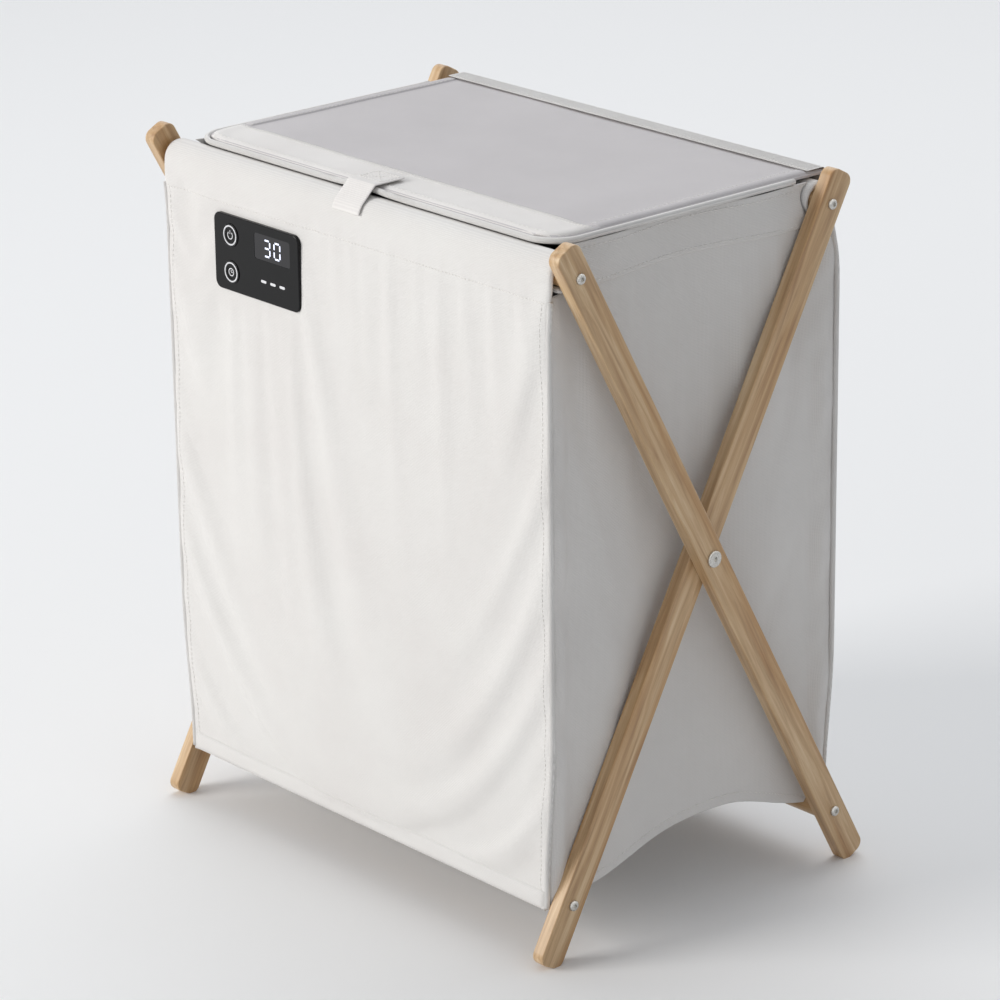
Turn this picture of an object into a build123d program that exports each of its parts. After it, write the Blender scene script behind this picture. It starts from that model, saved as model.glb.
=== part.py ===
from build123d import *
import os
from math import acos, atan2, cos, degrees, hypot, radians, sin

# A folding towel warmer: a heated fabric bin hung in a scissor frame of wooden slats,
# with a hinged lid and a push-button control module in its front wall.
# Millimetres, +Z up, +X to the right, the front faces -Y. The origin is on the floor,
# at the middle of the footprint.

os.makedirs("parts", exist_ok=True)

# folding frame
top_rail_height = 571.5
bottom_rail_height = 48.5
rail_half_spread = 142.0      # from the middle plane to each rail's axis, frame open
inner_leg_inside = 231.2      # half the clear width between the two inner legs
slat_width = 25.0
slat_thickness = 12.0
slat_end_radius = 8.0
slat_edge_round = 1.2
leg_top_overhang = 28.0       # leg beyond the top rail's axis
foot_flat_depth = 1.2         # how much is sanded off each foot's low corner
rail_radius = 10.0
rail_end_chamfer = 1.0

# fasteners
washer_thickness = 0.8        # nylon washer between the crossed legs
washer_radius = 10.0
pivot_bolt_radius = 3.0
pivot_head_radius = 7.0
pivot_head_thickness = 2.2
pivot_sleeve_radius = 4.2
screw_radius = 2.4
screw_length = 34.0
screw_head_radius = 4.5
screw_head_height = 2.6
hex_key_radius = 2.0
hex_key_depth = 1.5
running_gap = 0.06            # radial, shaft in bore

# fabric bin
soft_gap = 0.3                # between soft pieces and what moves past them
roll_radius = 16.0            # outside of a wall's rolled top edge
roll_end_gap = 4.0            # front roll to the outer legs
rear_roll_end_gap = 2.2       # rear roll to the inner legs
panel_thickness = 3.0
panel_side_gap = 7.0          # panel's edge to the outer legs
panel_foot_gap = 2.2          # narrowed foot of a panel to the inner legs
skirt_height = 42.0           # lowest edge of the front and rear panels
panel_taper_height = 190.0    # below it the panels narrow towards the feet
rear_shoulder_drop = 50.0     # rear panel narrows this far below its rail, beside the legs
gusset_thickness = 3.0
gusset_leg_gap = 3.2          # gusset to the inner legs
gusset_crease_depth = 14.0
gusset_flat_depth = 118.0     # where the gusset starts to flare out to the panels' edges
gusset_flare_low = 95.0
gusset_flare_high = 150.0
arch_height = 74.0            # underside of the bottom at its middle ridge
bottom_thickness = 3.0

# heated lining
lining_thickness = 5.5
lining_half_width = 220.0
lining_low_gap = 3.5          # lining above the lower rail
lining_top_gap = 3.0          # lining below the roll
lining_corner = 12.0
pad_thickness = 1.6
pad_half_width = 190.0
pad_bottom = 152.0
pad_module_gap = 38.5         # pad's top edge to the control module
pad_corner = 20.0
pad_tail_width = 24.0         # the narrow end that carries the pad's terminals
cutoff_length = 30.0
cutoff_width = 12.0
cutoff_thickness = 2.4
cutoff_drop = 42.0            # below the pad's top edge

# lid
lid_half_width = 220.0
lid_front = 136.0             # front edge, in front of the middle plane
lid_skin = 1.8
lid_lining_skin = 1.2
lid_board_thickness = 3.0
lid_side_skin = 2.5
lid_corner = 26.0
piping_radius = 2.3
piping_rear = 120.0
hinge_strip_thickness = 1.2
hinge_strip_drop = 26.0
tab_width = 34.0
tab_thickness = 1.6
tab_on_lid = 26.0
tab_wrap_end = 168.0          # degrees round the front roll, from its inner side

# control module
module_x = -113.5
module_drop = 61.5            # below the top rail
faceplate_width = 110.0
faceplate_height = 65.0
faceplate_corner = 7.0
faceplate_thickness = 3.6
faceplate_edge_round = 1.0
body_width = 96.0
body_height = 59.0
body_corner = 4.0
body_wall = 2.0
body_depth = 15.0             # from the panel's inner face into the bin
cutout_gap = 0.5
button_radius = 10.0
button_gap = 0.12
button_proud = 0.8
button_flange = 1.2
button_flange_thickness = 1.0
button_flange_gap = 0.1
button_travel = 1.0
button_from_left = 22.0
button_spacing = 31.5
button_ring_inner = 5.6
button_ring_depth = 0.35
window_width = 46.0
window_height = 22.0
window_corner = 2.5
window_from_right = 34.0
window_above_middle = 14.0
window_depth = 1.6
window_ledge = 2.0
light_width = 7.0
light_height = 2.4
light_count = 3
light_pitch = 12.0
light_below_middle = 15.0
board_thickness = 1.6
board_back_gap = 5.0          # board to the housing's back wall
board_margin = 2.5
switch_size = 6.0
display_width = 34.0
display_height = 16.0
window_face_gap = 0.2
relay_size = (19.0, 3.6, 15.0)
module_screw_radius = 1.5
module_screw_head_radius = 2.6
module_screw_head = 1.6
module_screw_inset = 5.5
module_post_radius = 3.2

# power entry, low on the rear wall
entry_x = -150.0
entry_z = 118.0
gland_bore_radius = 3.6
gland_thread_radius = 7.0
gland_flange_radius = 11.0
gland_flange_thickness = 3.0
gland_nose_radius = 8.0
gland_nose_length = 9.0
gland_nut_thickness = 4.0
entry_box_width = 54.0
entry_box_height = 44.0
entry_box_depth = 13.0
entry_box_wall = 2.0
entry_box_corner = 5.0
entry_box_left_margin = 14.0  # gland's axis to the box's near side
terminal_size = (20.0, 6.0, 12.0)
terminal_offset = 26.0        # gland's axis to the terminal block's middle
terminal_pin_radius = 1.5
terminal_pin_pitch = 10.0

# internal leads
lead_radius = 2.2
lead_bend = 16.0

# worked out from the sizes above
pivot_height = (top_rail_height + bottom_rail_height) / 2
rail_rise = (top_rail_height - bottom_rail_height) / 2
rail_reach = hypot(rail_rise, rail_half_spread)
lean = degrees(atan2(rail_half_spread, rail_rise))
foot_corner_drop = (slat_end_radius * (1 - cos(radians(lean)))
                    + (slat_width / 2 - slat_end_radius) * sin(radians(lean)))
leg_foot_overhang = (bottom_rail_height - foot_corner_drop + foot_flat_depth) / cos(radians(lean))
inner_leg_outside = inner_leg_inside + slat_thickness
outer_leg_inside = inner_leg_outside + washer_thickness
outer_leg_outside = outer_leg_inside + slat_thickness
wall_outside = rail_half_spread + roll_radius
wall_inside = wall_outside - panel_thickness
lining_inside = wall_inside - lining_thickness
roll_top = top_rail_height + roll_radius
front_roll_half = outer_leg_inside - roll_end_gap
rear_roll_half = inner_leg_inside - rear_roll_end_gap
panel_half_width = outer_leg_inside - panel_side_gap
panel_foot_half_width = inner_leg_inside - panel_foot_gap
gusset_leg_half_width = inner_leg_inside - gusset_leg_gap
gusset_crease_half_width = gusset_leg_half_width - gusset_crease_depth
module_z = top_rail_height - module_drop
pad_height = module_z - body_height / 2 - pad_module_gap - pad_bottom
cutoff_height = pad_bottom + pad_height - cutoff_drop
lower_rail_top = bottom_rail_height + rail_radius
lid_bottom = roll_top + soft_gap
lid_board_bottom = lid_bottom + lid_lining_skin
lid_skin_bottom = lid_board_bottom + lid_board_thickness
lid_top = lid_skin_bottom + lid_skin
lid_rear = wall_outside - soft_gap
FRONT = -1
REAR = 1


def along_x(outline, x_from, x_to):
    """Extrude an outline drawn as (y, z) from one x to another."""
    plane = Plane(origin=(min(x_from, x_to), 0, 0), x_dir=(0, 1, 0), z_dir=(1, 0, 0))
    return extrude(plane * outline, amount=abs(x_to - x_from))


def along_y(outline, y_from, y_to):
    """Extrude an outline drawn as (x, z) from one y to another."""
    plane = Plane(origin=(0, max(y_from, y_to), 0), x_dir=(1, 0, 0), z_dir=(0, -1, 0))
    return extrude(plane * outline, amount=abs(y_to - y_from))


def along_z(outline, z_from, z_to):
    """Extrude an outline drawn as (x, y) from one z to another."""
    return extrude(Plane.XY.offset(min(z_from, z_to)) * outline, amount=abs(z_to - z_from))


def rod_x(radius, x_from, x_to, y, z):
    return Pos((x_from + x_to) / 2, y, z) * Rot(0, 90, 0) * Cylinder(radius, abs(x_to - x_from))


def rod_y(radius, y_from, y_to, x, z):
    return Pos(x, (y_from + y_to) / 2, z) * Rot(90, 0, 0) * Cylinder(radius, abs(y_to - y_from))


def both_sides(right_piece):
    """The piece and its mirror image on the left, as a group of solids."""
    return Compound(children=[right_piece, mirror(right_piece, about=Plane.YZ)])


def save(node, shape):
    export_step(shape, f"parts/{node}.step")


# ---- scissor frame


def leg(x_inside, towards):
    """A right-hand slat whose top leans towards the front or the rear."""
    length = 2 * rail_reach + leg_top_overhang + leg_foot_overhang
    middle = (leg_top_overhang - leg_foot_overhang) / 2
    outline = Pos(0, middle) * RectangleRounded(slat_width, length, slat_end_radius)
    slat = along_x(outline, x_inside, x_inside + slat_thickness)
    slat = fillet(slat.faces().filter_by(Axis.X).edges(), slat_edge_round)
    bores = [(0, pivot_bolt_radius + running_gap)]
    if x_inside < outer_leg_inside:
        bores = [(0, pivot_sleeve_radius + running_gap)]
    bores += [(height, screw_radius + running_gap) for height in (-rail_reach, rail_reach)]
    for height, radius in bores:
        slat -= rod_x(radius, x_inside - 1, x_inside + slat_thickness + 1, 0, height)
    slat = Pos(0, 0, pivot_height) * Rot(-towards * lean, 0, 0) * slat
    below_floor = Pos(x_inside, 0, -slat_width) * Box(4 * slat_width, 4 * wall_outside, 2 * slat_width)
    return slat - below_floor


def rail(half_length, y, z):
    """A round rail between two legs, drilled at both ends for the screws."""
    dowel = rod_x(rail_radius, -half_length, half_length, y, z)
    dowel = chamfer(dowel.edges().filter_by(GeomType.CIRCLE), rail_end_chamfer)
    pilot_depth = screw_length - slat_thickness + 2
    for end in (-1, 1):
        dowel -= rod_x(screw_radius + running_gap, end * (half_length - pilot_depth), end * (half_length + 1), y, z)
    return dowel


def screw(x_outside, y, z):
    """A round-headed screw with a hex socket, driven towards -X."""
    head = Cylinder(screw_head_radius, screw_head_height, align=(Align.CENTER, Align.CENTER, Align.MIN))
    head = fillet(head.edges().filter_by(GeomType.CIRCLE).sort_by(Axis.Z)[-1], 0.7 * screw_head_height)
    socket = Pos(0, 0, screw_head_height - hex_key_depth) * extrude(
        RegularPolygon(hex_key_radius, 6), amount=hex_key_depth + 1)
    shank = Cylinder(screw_radius, screw_length, align=(Align.CENTER, Align.CENTER, Align.MAX))
    return Pos(x_outside, y, z) * Rot(0, 90, 0) * (head - socket + shank)


def frame_screws(x_outside, top_side):
    """The screws of one leg pair: its top rail on one side, its bottom rail on the other."""
    right = [screw(x_outside, top_side * rail_half_spread, top_rail_height),
             screw(x_outside, -top_side * rail_half_spread, bottom_rail_height)]
    left = [mirror(one, about=Plane.YZ) for one in right]
    return Compound(children=right + left)


def pivot_bolt():
    head = rod_x(pivot_head_radius, outer_leg_outside, outer_leg_outside + pivot_head_thickness, 0, pivot_height)
    head = fillet(head.edges().filter_by(GeomType.CIRCLE).sort_by(Axis.X)[-1], 0.5 * pivot_head_thickness)
    socket = Pos(outer_leg_outside + pivot_head_thickness, 0, pivot_height) * Rot(0, 90, 0) * Cylinder(
        hex_key_radius, hex_key_depth * 2)
    shank = rod_x(pivot_bolt_radius, inner_leg_inside, outer_leg_outside, 0, pivot_height)
    return head - socket + shank


def pivot_nut():
    """A sleeve nut: its thin head lies inside the inner leg, its sleeve round the bolt's end."""
    head = rod_x(pivot_head_radius, inner_leg_inside - pivot_head_thickness, inner_leg_inside, 0, pivot_height)
    head = fillet(head.edges().filter_by(GeomType.CIRCLE).sort_by(Axis.X)[0], 0.5 * pivot_head_thickness)
    sleeve = rod_x(pivot_sleeve_radius, inner_leg_inside, inner_leg_outside, 0, pivot_height)
    bore = rod_x(pivot_bolt_radius + running_gap, inner_leg_inside, inner_leg_outside + 1, 0, pivot_height)
    return head + sleeve - bore


def pivot_washer():
    ring = rod_x(washer_radius, inner_leg_outside, outer_leg_inside, 0, pivot_height)
    return ring - rod_x(pivot_bolt_radius + running_gap, inner_leg_outside - 1, outer_leg_inside + 1, 0, pivot_height)


# ---- fabric walls


def outline_from_right(points):
    """A face symmetric about x = 0, from its right-hand points, bottom to top."""
    left = [(-x, z) for x, z in reversed(points)]
    return make_face(Polyline(*points, *left, close=True))


def wall_panel(side, roll_half):
    """A wall of the bin: a flat panel whose top edge is rolled round its rail."""
    top_half = min(panel_half_width, roll_half)
    points = [(panel_foot_half_width, skirt_height), (panel_foot_half_width, lower_rail_top)]
    points.append((panel_half_width, panel_taper_height))
    if top_half < panel_half_width:
        points.append((panel_half_width, top_rail_height - rear_shoulder_drop))
        points.append((top_half, top_rail_height - roll_radius))
    points.append((top_half, top_rail_height))
    flat = along_y(outline_from_right(points), side * wall_outside, side * wall_inside)
    roll = rod_x(roll_radius, -roll_half, roll_half, side * rail_half_spread, top_rail_height)
    bore = rod_x(rail_radius + soft_gap, -roll_half - 1, roll_half + 1, side * rail_half_spread, top_rail_height)
    return flat + roll - bore


def pad_outline(side):
    """A rounded sheet with a narrow tail: up to the control module, or down to the terminals."""
    sheet = Pos(0, pad_bottom + pad_height / 2) * RectangleRounded(2 * pad_half_width, pad_height, pad_corner)
    inside = pad_bottom + pad_height / 2
    x, end = module_x, module_z - body_height / 2
    if side == REAR:
        x, end = entry_x + terminal_offset, entry_z - terminal_size[2] / 2
    tail = Pos(x, (inside + end) / 2) * Rectangle(pad_tail_width, abs(end - inside))
    return sheet + tail


def cutoff_outline():
    return Pos(0, cutoff_height) * RectangleRounded(cutoff_length, cutoff_width, 0.3 * cutoff_width)


def heating_pad(side):
    return along_y(pad_outline(side), side * wall_inside, side * (wall_inside - pad_thickness))


def thermal_cutoff(side):
    inner = wall_inside - pad_thickness
    return along_y(cutoff_outline(), side * inner, side * (inner - cutoff_thickness))


def lining(side):
    """The padded lining, with a pocket for the heating pad and one for its thermal cut-off."""
    low = lower_rail_top + lining_low_gap
    high = top_rail_height - roll_radius - lining_top_gap
    outline = Pos(0, (low + high) / 2) * RectangleRounded(2 * lining_half_width, high - low, lining_corner)
    slab = along_y(outline, side * wall_inside, side * lining_inside)
    return slab - heating_pad(side) - thermal_cutoff(side)


def gusset_section(height, front_half, rear_half):
    """A gusset's plan at one height: flared to both panels and creased inwards at the middle."""
    outside = [(front_half, -(wall_inside - soft_gap)), (gusset_leg_half_width, -gusset_flat_depth),
               (gusset_crease_half_width, 0), (gusset_leg_half_width, gusset_flat_depth),
               (rear_half, wall_inside)]
    inside = [(x - gusset_thickness, y) for x, y in reversed(outside)]
    return Plane.XY.offset(height) * make_face(Polyline(*outside, *inside, close=True))


def arch_line(y_end, lift=0.0):
    """Points of the bin's underside, from the front rail up to the ridge and down again."""
    low = lower_rail_top + soft_gap + lift
    return [(-y_end, low), (0, arch_height + lift), (y_end, low)]


def gusset():
    wide = panel_half_width - 1
    narrow = panel_foot_half_width
    sections = [gusset_section(skirt_height, narrow, narrow),
                gusset_section(gusset_flare_low, narrow, narrow),
                gusset_section(gusset_flare_high, wide, wide),
                gusset_section(top_rail_height - rear_shoulder_drop, wide, wide),
                gusset_section(top_rail_height - roll_radius, wide, rear_roll_half),
                gusset_section(roll_top, wide, rear_roll_half)]
    side = loft(sections, ruled=True)
    edge = wall_outside + 1
    under = make_face(Polyline(*arch_line(wall_outside), (edge, 0), (-edge, 0), close=True))
    side -= along_x(under, 0, outer_leg_outside)
    for y in (-rail_half_spread, rail_half_spread):
        side -= rod_x(roll_radius + soft_gap, 0, outer_leg_outside, y, top_rail_height)
    for end in (FRONT, REAR):
        corner = Pos(panel_half_width, end * (rail_half_spread + roll_radius), top_rail_height + roll_radius)
        side -= corner * Box(4 * roll_radius, 2 * roll_radius, 2 * roll_radius)
    return side


def bottom_panel():
    """The bin's soft bottom: it lies on the lower rails and rises to a ridge between them."""
    end = lining_inside - soft_gap
    profile = make_face(Polyline(*arch_line(end), *reversed(arch_line(end, bottom_thickness)), close=True))
    inset = gusset_thickness + soft_gap
    points = [(gusset_leg_half_width - inset, -end), (gusset_leg_half_width - inset, -gusset_flat_depth),
              (gusset_crease_half_width - inset, 0), (gusset_leg_half_width - inset, gusset_flat_depth),
              (gusset_leg_half_width - inset, end)]
    plan = outline_from_right(points)
    sheet = along_x(profile, -panel_half_width, panel_half_width)
    return sheet & along_z(plan, 0, arch_height + 4 * bottom_thickness)


# ---- lid


def lid_outline(inset=0.0):
    """The lid's plan, with rounded front corners."""
    front = -lid_front + inset
    rear = lid_rear - inset
    half = lid_half_width - inset
    outline = Pos(0, (front + rear) / 2) * Rectangle(2 * half, rear - front)
    return fillet(outline.vertices().group_by(Axis.Y)[0], lid_corner - inset)


def lid_cover():
    skirted = along_z(lid_outline(), lid_board_bottom, lid_top)
    return skirted - along_z(lid_outline(lid_side_skin), lid_board_bottom, lid_skin_bottom)


def lid_piping():
    """A bead of piping round the lid's sides and front."""
    out = piping_radius + running_gap
    x = lid_half_width + out
    y = -lid_front - out
    corner = lid_corner + out
    z = (lid_bottom + lid_top) / 2
    route = FilletPolyline((-x, piping_rear, z), (-x, y, z), (x, y, z), (x, piping_rear, z), radius=corner)
    section = Plane(origin=(-x, piping_rear, z), z_dir=(0, -1, 0)) * Circle(piping_radius)
    return sweep(section, path=route)


def pull_tab():
    """A strap sewn on the lid's front edge, hanging over the front roll."""
    rail_y = -rail_half_spread
    over = roll_radius + 2 * soft_gap + tab_thickness / 2
    on_lid = lid_top + tab_thickness / 2
    edge = -lid_front - 2 * piping_radius
    out, up = edge - rail_y, on_lid - top_rail_height
    crest = atan2(up, out) + acos(over / hypot(out, up))
    slope = [(-lid_front + tab_on_lid, on_lid), (edge, on_lid),
             (rail_y + over * cos(crest), top_rail_height + over * sin(crest))]
    wrap = CenterArc((rail_y, top_rail_height), over, degrees(crest), tab_wrap_end - degrees(crest))
    centre_line = Polyline(*slope) + wrap
    strap = make_face(offset(centre_line, tab_thickness / 2, side=Side.BOTH).edges())
    return along_x(strap, -tab_width / 2, tab_width / 2)


def lid_hinge_strip():
    """The tape that joins the rear wall to the lid's rear edge."""
    low = top_rail_height - hinge_strip_drop
    outline = Pos(0, (low + lid_top) / 2) * Rectangle(2 * lid_half_width, lid_top - low)
    return along_y(outline, wall_outside, wall_outside + hinge_strip_thickness)


# ---- control module


def at_module(x, z, outline):
    return Pos(module_x + x, module_z + z) * outline


def button_places():
    x = -faceplate_width / 2 + button_from_left
    return {"power_button": (x, button_spacing / 2), "timer_button": (x, -button_spacing / 2)}


def window_place():
    return faceplate_width / 2 - window_from_right, window_above_middle


def light_places():
    x, _ = window_place()
    first = x - light_pitch * (light_count - 1) / 2
    return [(first + i * light_pitch, -light_below_middle) for i in range(light_count)]


def screw_places():
    """Two screws in the right-hand corners, the third between the buttons."""
    x = body_width / 2 - module_screw_inset
    z = body_height / 2 - module_screw_inset
    return [(x, z), (x, -z), (-x, 0)]


def body_outline(inset=0.0):
    outline = RectangleRounded(body_width - 2 * inset, body_height - 2 * inset, body_corner - inset)
    return at_module(0, 0, outline)


faceplate_front = wall_outside + faceplate_thickness
board_front = wall_inside - (body_depth - body_wall - board_back_gap - board_thickness)
board_back = board_front - board_thickness
housing_back = wall_inside - body_depth


def faceplate():
    """The glossy front: buttons, window and lights sit in it, its rim passes through the panel."""
    outline = at_module(0, 0, RectangleRounded(faceplate_width, faceplate_height, faceplate_corner))
    plate = along_y(outline, -faceplate_front, -wall_outside)
    plate = fillet(plate.faces().sort_by(Axis.Y)[0].edges(), faceplate_edge_round)
    rim = along_y(body_outline(), -wall_outside, -wall_inside)
    plate += rim - along_y(body_outline(body_wall), -wall_outside, -wall_inside)
    for x, z in button_places().values():
        plate -= rod_y(button_radius + button_gap, -faceplate_front, -wall_outside, module_x + x, module_z + z)
    x, z = window_place()
    lens = RectangleRounded(window_width, window_height, window_corner)
    sight = RectangleRounded(window_width - 2 * window_ledge, window_height - 2 * window_ledge, window_corner / 2)
    plate -= along_y(at_module(x, z, lens), -faceplate_front, -faceplate_front + window_depth)
    plate -= along_y(at_module(x, z, sight), -faceplate_front, -wall_outside)
    for x, z in light_places():
        slot = SlotOverall(light_width, light_height)
        plate -= along_y(at_module(x, z, slot), -faceplate_front - 1, -wall_outside)
    for x, z in screw_places():
        post = rod_y(module_post_radius, -wall_outside, -wall_inside, module_x + x, module_z + z)
        plate += post
        plate -= rod_y(module_screw_radius + running_gap, -wall_outside, -wall_inside, module_x + x, module_z + z)
    return plate


def control_housing():
    """The rear half of the module, screwed on from inside the bin."""
    shell = along_y(body_outline(), -wall_inside, -housing_back)
    shell = fillet(shell.faces().sort_by(Axis.Y)[-1].edges(), body_wall)
    shell -= along_y(body_outline(body_wall), -wall_inside, -housing_back - body_wall)
    for x, z in screw_places():
        shell += rod_y(module_post_radius, -wall_inside, -housing_back - body_wall, module_x + x, module_z + z)
        shell -= rod_y(module_screw_radius + running_gap, -wall_inside, -housing_back + 1, module_x + x, module_z + z)
    lead_x, lead_z = module_lead_exit()
    shell -= Pos(lead_x, -lead_line(), lead_z) * Cylinder(lead_radius + running_gap, 6 * body_wall)
    return shell


def module_lead_exit():
    """Where the supply lead enters the housing's lower side."""
    return module_x - body_width / 4, module_z - body_height / 2


def lead_line():
    """The supply lead's distance in front of the middle plane, just inside the lining."""
    return lining_inside - lead_radius - soft_gap


def module_screws():
    screws = []
    for x, z in screw_places():
        shank = rod_y(module_screw_radius, -wall_inside - panel_thickness / 2, -housing_back, module_x + x, module_z + z)
        head = rod_y(module_screw_head_radius, -housing_back, -housing_back + module_screw_head,
                     module_x + x, module_z + z)
        screws.append(shank + head)
    return Compound(children=screws)


def button(place):
    """A round key: a raised ring on its face, a flange behind the faceplate and a stem."""
    x, z = place
    x += module_x
    z += module_z
    front = -faceplate_front - button_proud
    back = -wall_outside + button_flange_thickness
    key = rod_y(button_radius, front, -wall_outside, x, z)
    key = fillet(key.edges().filter_by(GeomType.CIRCLE).sort_by(Axis.Y)[0], 0.5 * button_proud)
    key -= rod_y(button_ring_inner, front, front + button_ring_depth, x, z)
    key += rod_y(button_radius + button_flange, -wall_outside + button_flange_gap, back, x, z)
    key += rod_y(button_ring_inner, -wall_outside, -board_front - switch_height(), x, z)
    return key


def switch_height():
    """A tact switch reaches from the board to just behind the button's stem."""
    return wall_outside - board_front - 3 * button_flange_thickness - button_travel


def button_switches():
    switches = []
    for x, z in button_places().values():
        body = along_y(at_module(x, z, RectangleRounded(switch_size, switch_size, 0.5)),
                       -board_front, -board_front - switch_height() + button_travel + soft_gap)
        switches.append(body)
    return Compound(children=switches)


def display_window():
    x, z = window_place()
    gap = 2 * running_gap
    lens = RectangleRounded(window_width - gap, window_height - gap, window_corner - running_gap)
    return along_y(at_module(x, z, lens), -faceplate_front + window_face_gap, -faceplate_front + window_depth)


def display_module():
    """The digit block on the board, behind the window."""
    x, z = window_place()
    block = RectangleRounded(display_width, display_height, 1.0)
    return along_y(at_module(x, z, block), -board_front, -wall_outside - 0.5 * panel_thickness)


def indicator_lights():
    lights = []
    for x, z in light_places():
        slot = SlotOverall(light_width - 2 * running_gap, light_height - 2 * running_gap)
        lights.append(along_y(at_module(x, z, slot), -faceplate_front, -wall_outside))
    return Compound(children=lights)


def control_board():
    """The circuit board with its relay, notched round the posts."""
    width = body_width - 2 * body_wall - 2 * board_margin
    height = body_height - 2 * body_wall - 2 * board_margin
    board = along_y(at_module(0, 0, Rectangle(width, height)), -board_front, -board_back)
    for x, z in screw_places():
        board -= rod_y(module_post_radius + soft_gap, -board_front - 1, -board_back + 1, module_x + x, module_z + z)
    relay_x, relay_y, relay_z = relay_size
    relay = along_y(at_module(0, 0, Rectangle(relay_x, relay_z)), -board_back, -board_back + relay_y)
    return board + relay


# ---- power entry and leads


def cord_gland():
    """A flanged gland through the rear panel, with a bore for the supply cord."""
    flange = rod_y(gland_flange_radius, wall_outside, wall_outside + gland_flange_thickness, entry_x, entry_z)
    nose_end = wall_outside + gland_flange_thickness + gland_nose_length
    nose = rod_y(gland_nose_radius, wall_outside, nose_end, entry_x, entry_z)
    nose = fillet(nose.edges().filter_by(GeomType.CIRCLE).sort_by(Axis.Y)[-1], 2.0)
    thread = rod_y(gland_thread_radius, gland_inner_end(), wall_outside, entry_x, entry_z)
    bore = rod_y(gland_bore_radius, gland_inner_end() - 1, nose_end + 1, entry_x, entry_z)
    return flange + nose + thread - bore


def gland_inner_end():
    return lining_inside - entry_box_wall - gland_nut_thickness


def gland_nut():
    nut = RegularPolygon(gland_thread_radius + 3, 6)
    ring = along_y(Pos(entry_x, entry_z) * nut, lining_inside - entry_box_wall, gland_inner_end())
    return ring - rod_y(gland_thread_radius + running_gap, gland_inner_end() - 1, lining_inside, entry_x, entry_z)


def entry_box_outline(inset=0.0):
    outline = RectangleRounded(entry_box_width - 2 * inset, entry_box_height - 2 * inset, entry_box_corner - inset)
    return Pos(entry_box_x(), entry_z) * outline


def entry_box_x():
    return entry_x + entry_box_width / 2 - entry_box_left_margin


def entry_box_base():
    """The tray of the terminal box, held on the lining by the gland's nut."""
    inner = lining_inside - entry_box_wall
    base = along_y(entry_box_outline(), lining_inside, inner)
    base -= rod_y(gland_thread_radius + running_gap, inner - 1, lining_inside + 1, entry_x, entry_z)
    return base - terminal_pins(running_gap)


def entry_box_cover():
    """The lid of the terminal box, with a hole for the supply lead."""
    face = lining_inside - entry_box_wall
    back = lining_inside - entry_box_depth
    shell = along_y(entry_box_outline(), face, back)
    shell -= along_y(entry_box_outline(entry_box_wall), face, back + entry_box_wall)
    start = supply_route()[0]
    shell -= rod_x(lead_radius + running_gap, start[0] - 1, start[0] + 2 * entry_box_wall, start[1], start[2])
    return shell


def terminal_block():
    """A terminal block on the tray, with three wire holes in its face."""
    width, depth, height = terminal_size
    face = lining_inside - entry_box_wall
    block = along_y(Pos(entry_x + terminal_offset, entry_z) * Rectangle(width, height), face, face - depth)
    for i in (-1, 0, 1):
        x = entry_x + terminal_offset + i * width / 3
        block -= rod_y(0.12 * width, face - depth - 1, face - depth / 2, x, entry_z)
    return block


def terminal_pins(grow=0.0):
    """Two pins from the pad's tail through the lining and the tray to the terminal block."""
    pins = []
    for i in (-1, 1):
        x = entry_x + terminal_offset + i * terminal_pin_pitch / 2
        pins.append(rod_y(terminal_pin_radius + grow, wall_inside - pad_thickness, lining_inside - entry_box_wall,
                          x, entry_z))
    return Compound(children=pins)


def supply_route():
    """The supply lead: from the terminal box round the left gusset, then up the front lining."""
    rear_y = lining_inside - entry_box_depth / 2
    side_x = -(gusset_crease_half_width - gusset_thickness - lead_radius - 2 * soft_gap)
    box_edge = entry_box_x() - entry_box_width / 2
    exit_x, exit_z = module_lead_exit()
    return [(box_edge, rear_y, entry_z), (side_x, rear_y, entry_z), (side_x, -lead_line(), entry_z),
            (exit_x, -lead_line(), entry_z), (exit_x, -lead_line(), exit_z)]


def supply_lead():
    points = supply_route()
    route = FilletPolyline(*points, radius=lead_bend)
    start = Plane(origin=points[0], z_dir=(-1, 0, 0))
    return sweep(start * Circle(lead_radius), path=route)


# ---- write the sub-parts

outer_leg = leg(outer_leg_inside, FRONT)
inner_leg = leg(inner_leg_inside, REAR)
save("outer_leg_right", outer_leg)
save("outer_leg_left", mirror(outer_leg, about=Plane.YZ))
save("inner_leg_right", inner_leg)
save("inner_leg_left", mirror(inner_leg, about=Plane.YZ))
save("front_top_rail", rail(outer_leg_inside, -rail_half_spread, top_rail_height))
save("rear_bottom_rail", rail(outer_leg_inside, rail_half_spread, bottom_rail_height))
save("rear_top_rail", rail(inner_leg_inside, rail_half_spread, top_rail_height))
save("front_bottom_rail", rail(inner_leg_inside, -rail_half_spread, bottom_rail_height))
save("outer_frame_screws", frame_screws(outer_leg_outside, FRONT))
save("inner_frame_screws", frame_screws(inner_leg_outside, REAR))
save("pivot_bolts", both_sides(pivot_bolt()))
save("pivot_sleeve_nuts", both_sides(pivot_nut()))
save("pivot_washers", both_sides(pivot_washer()))

module_cutout = RectangleRounded(body_width + 2 * cutout_gap, body_height + 2 * cutout_gap, body_corner)
module_opening = along_y(at_module(0, 0, module_cutout), -wall_outside - 1, -lining_inside + 1)
entry_opening = rod_y(gland_thread_radius + cutout_gap, lining_inside - 1, wall_outside + 1, entry_x, entry_z)
save("front_panel", wall_panel(FRONT, front_roll_half) - module_opening)
save("front_lining", lining(FRONT) - module_opening)
save("rear_panel", wall_panel(REAR, rear_roll_half) - entry_opening)
save("rear_lining", lining(REAR) - entry_opening - terminal_pins(running_gap))
for wall, side in (("front", FRONT), ("rear", REAR)):
    save(f"{wall}_heating_pad", heating_pad(side))
    save(f"{wall}_thermal_cutoff", thermal_cutoff(side))

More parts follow.
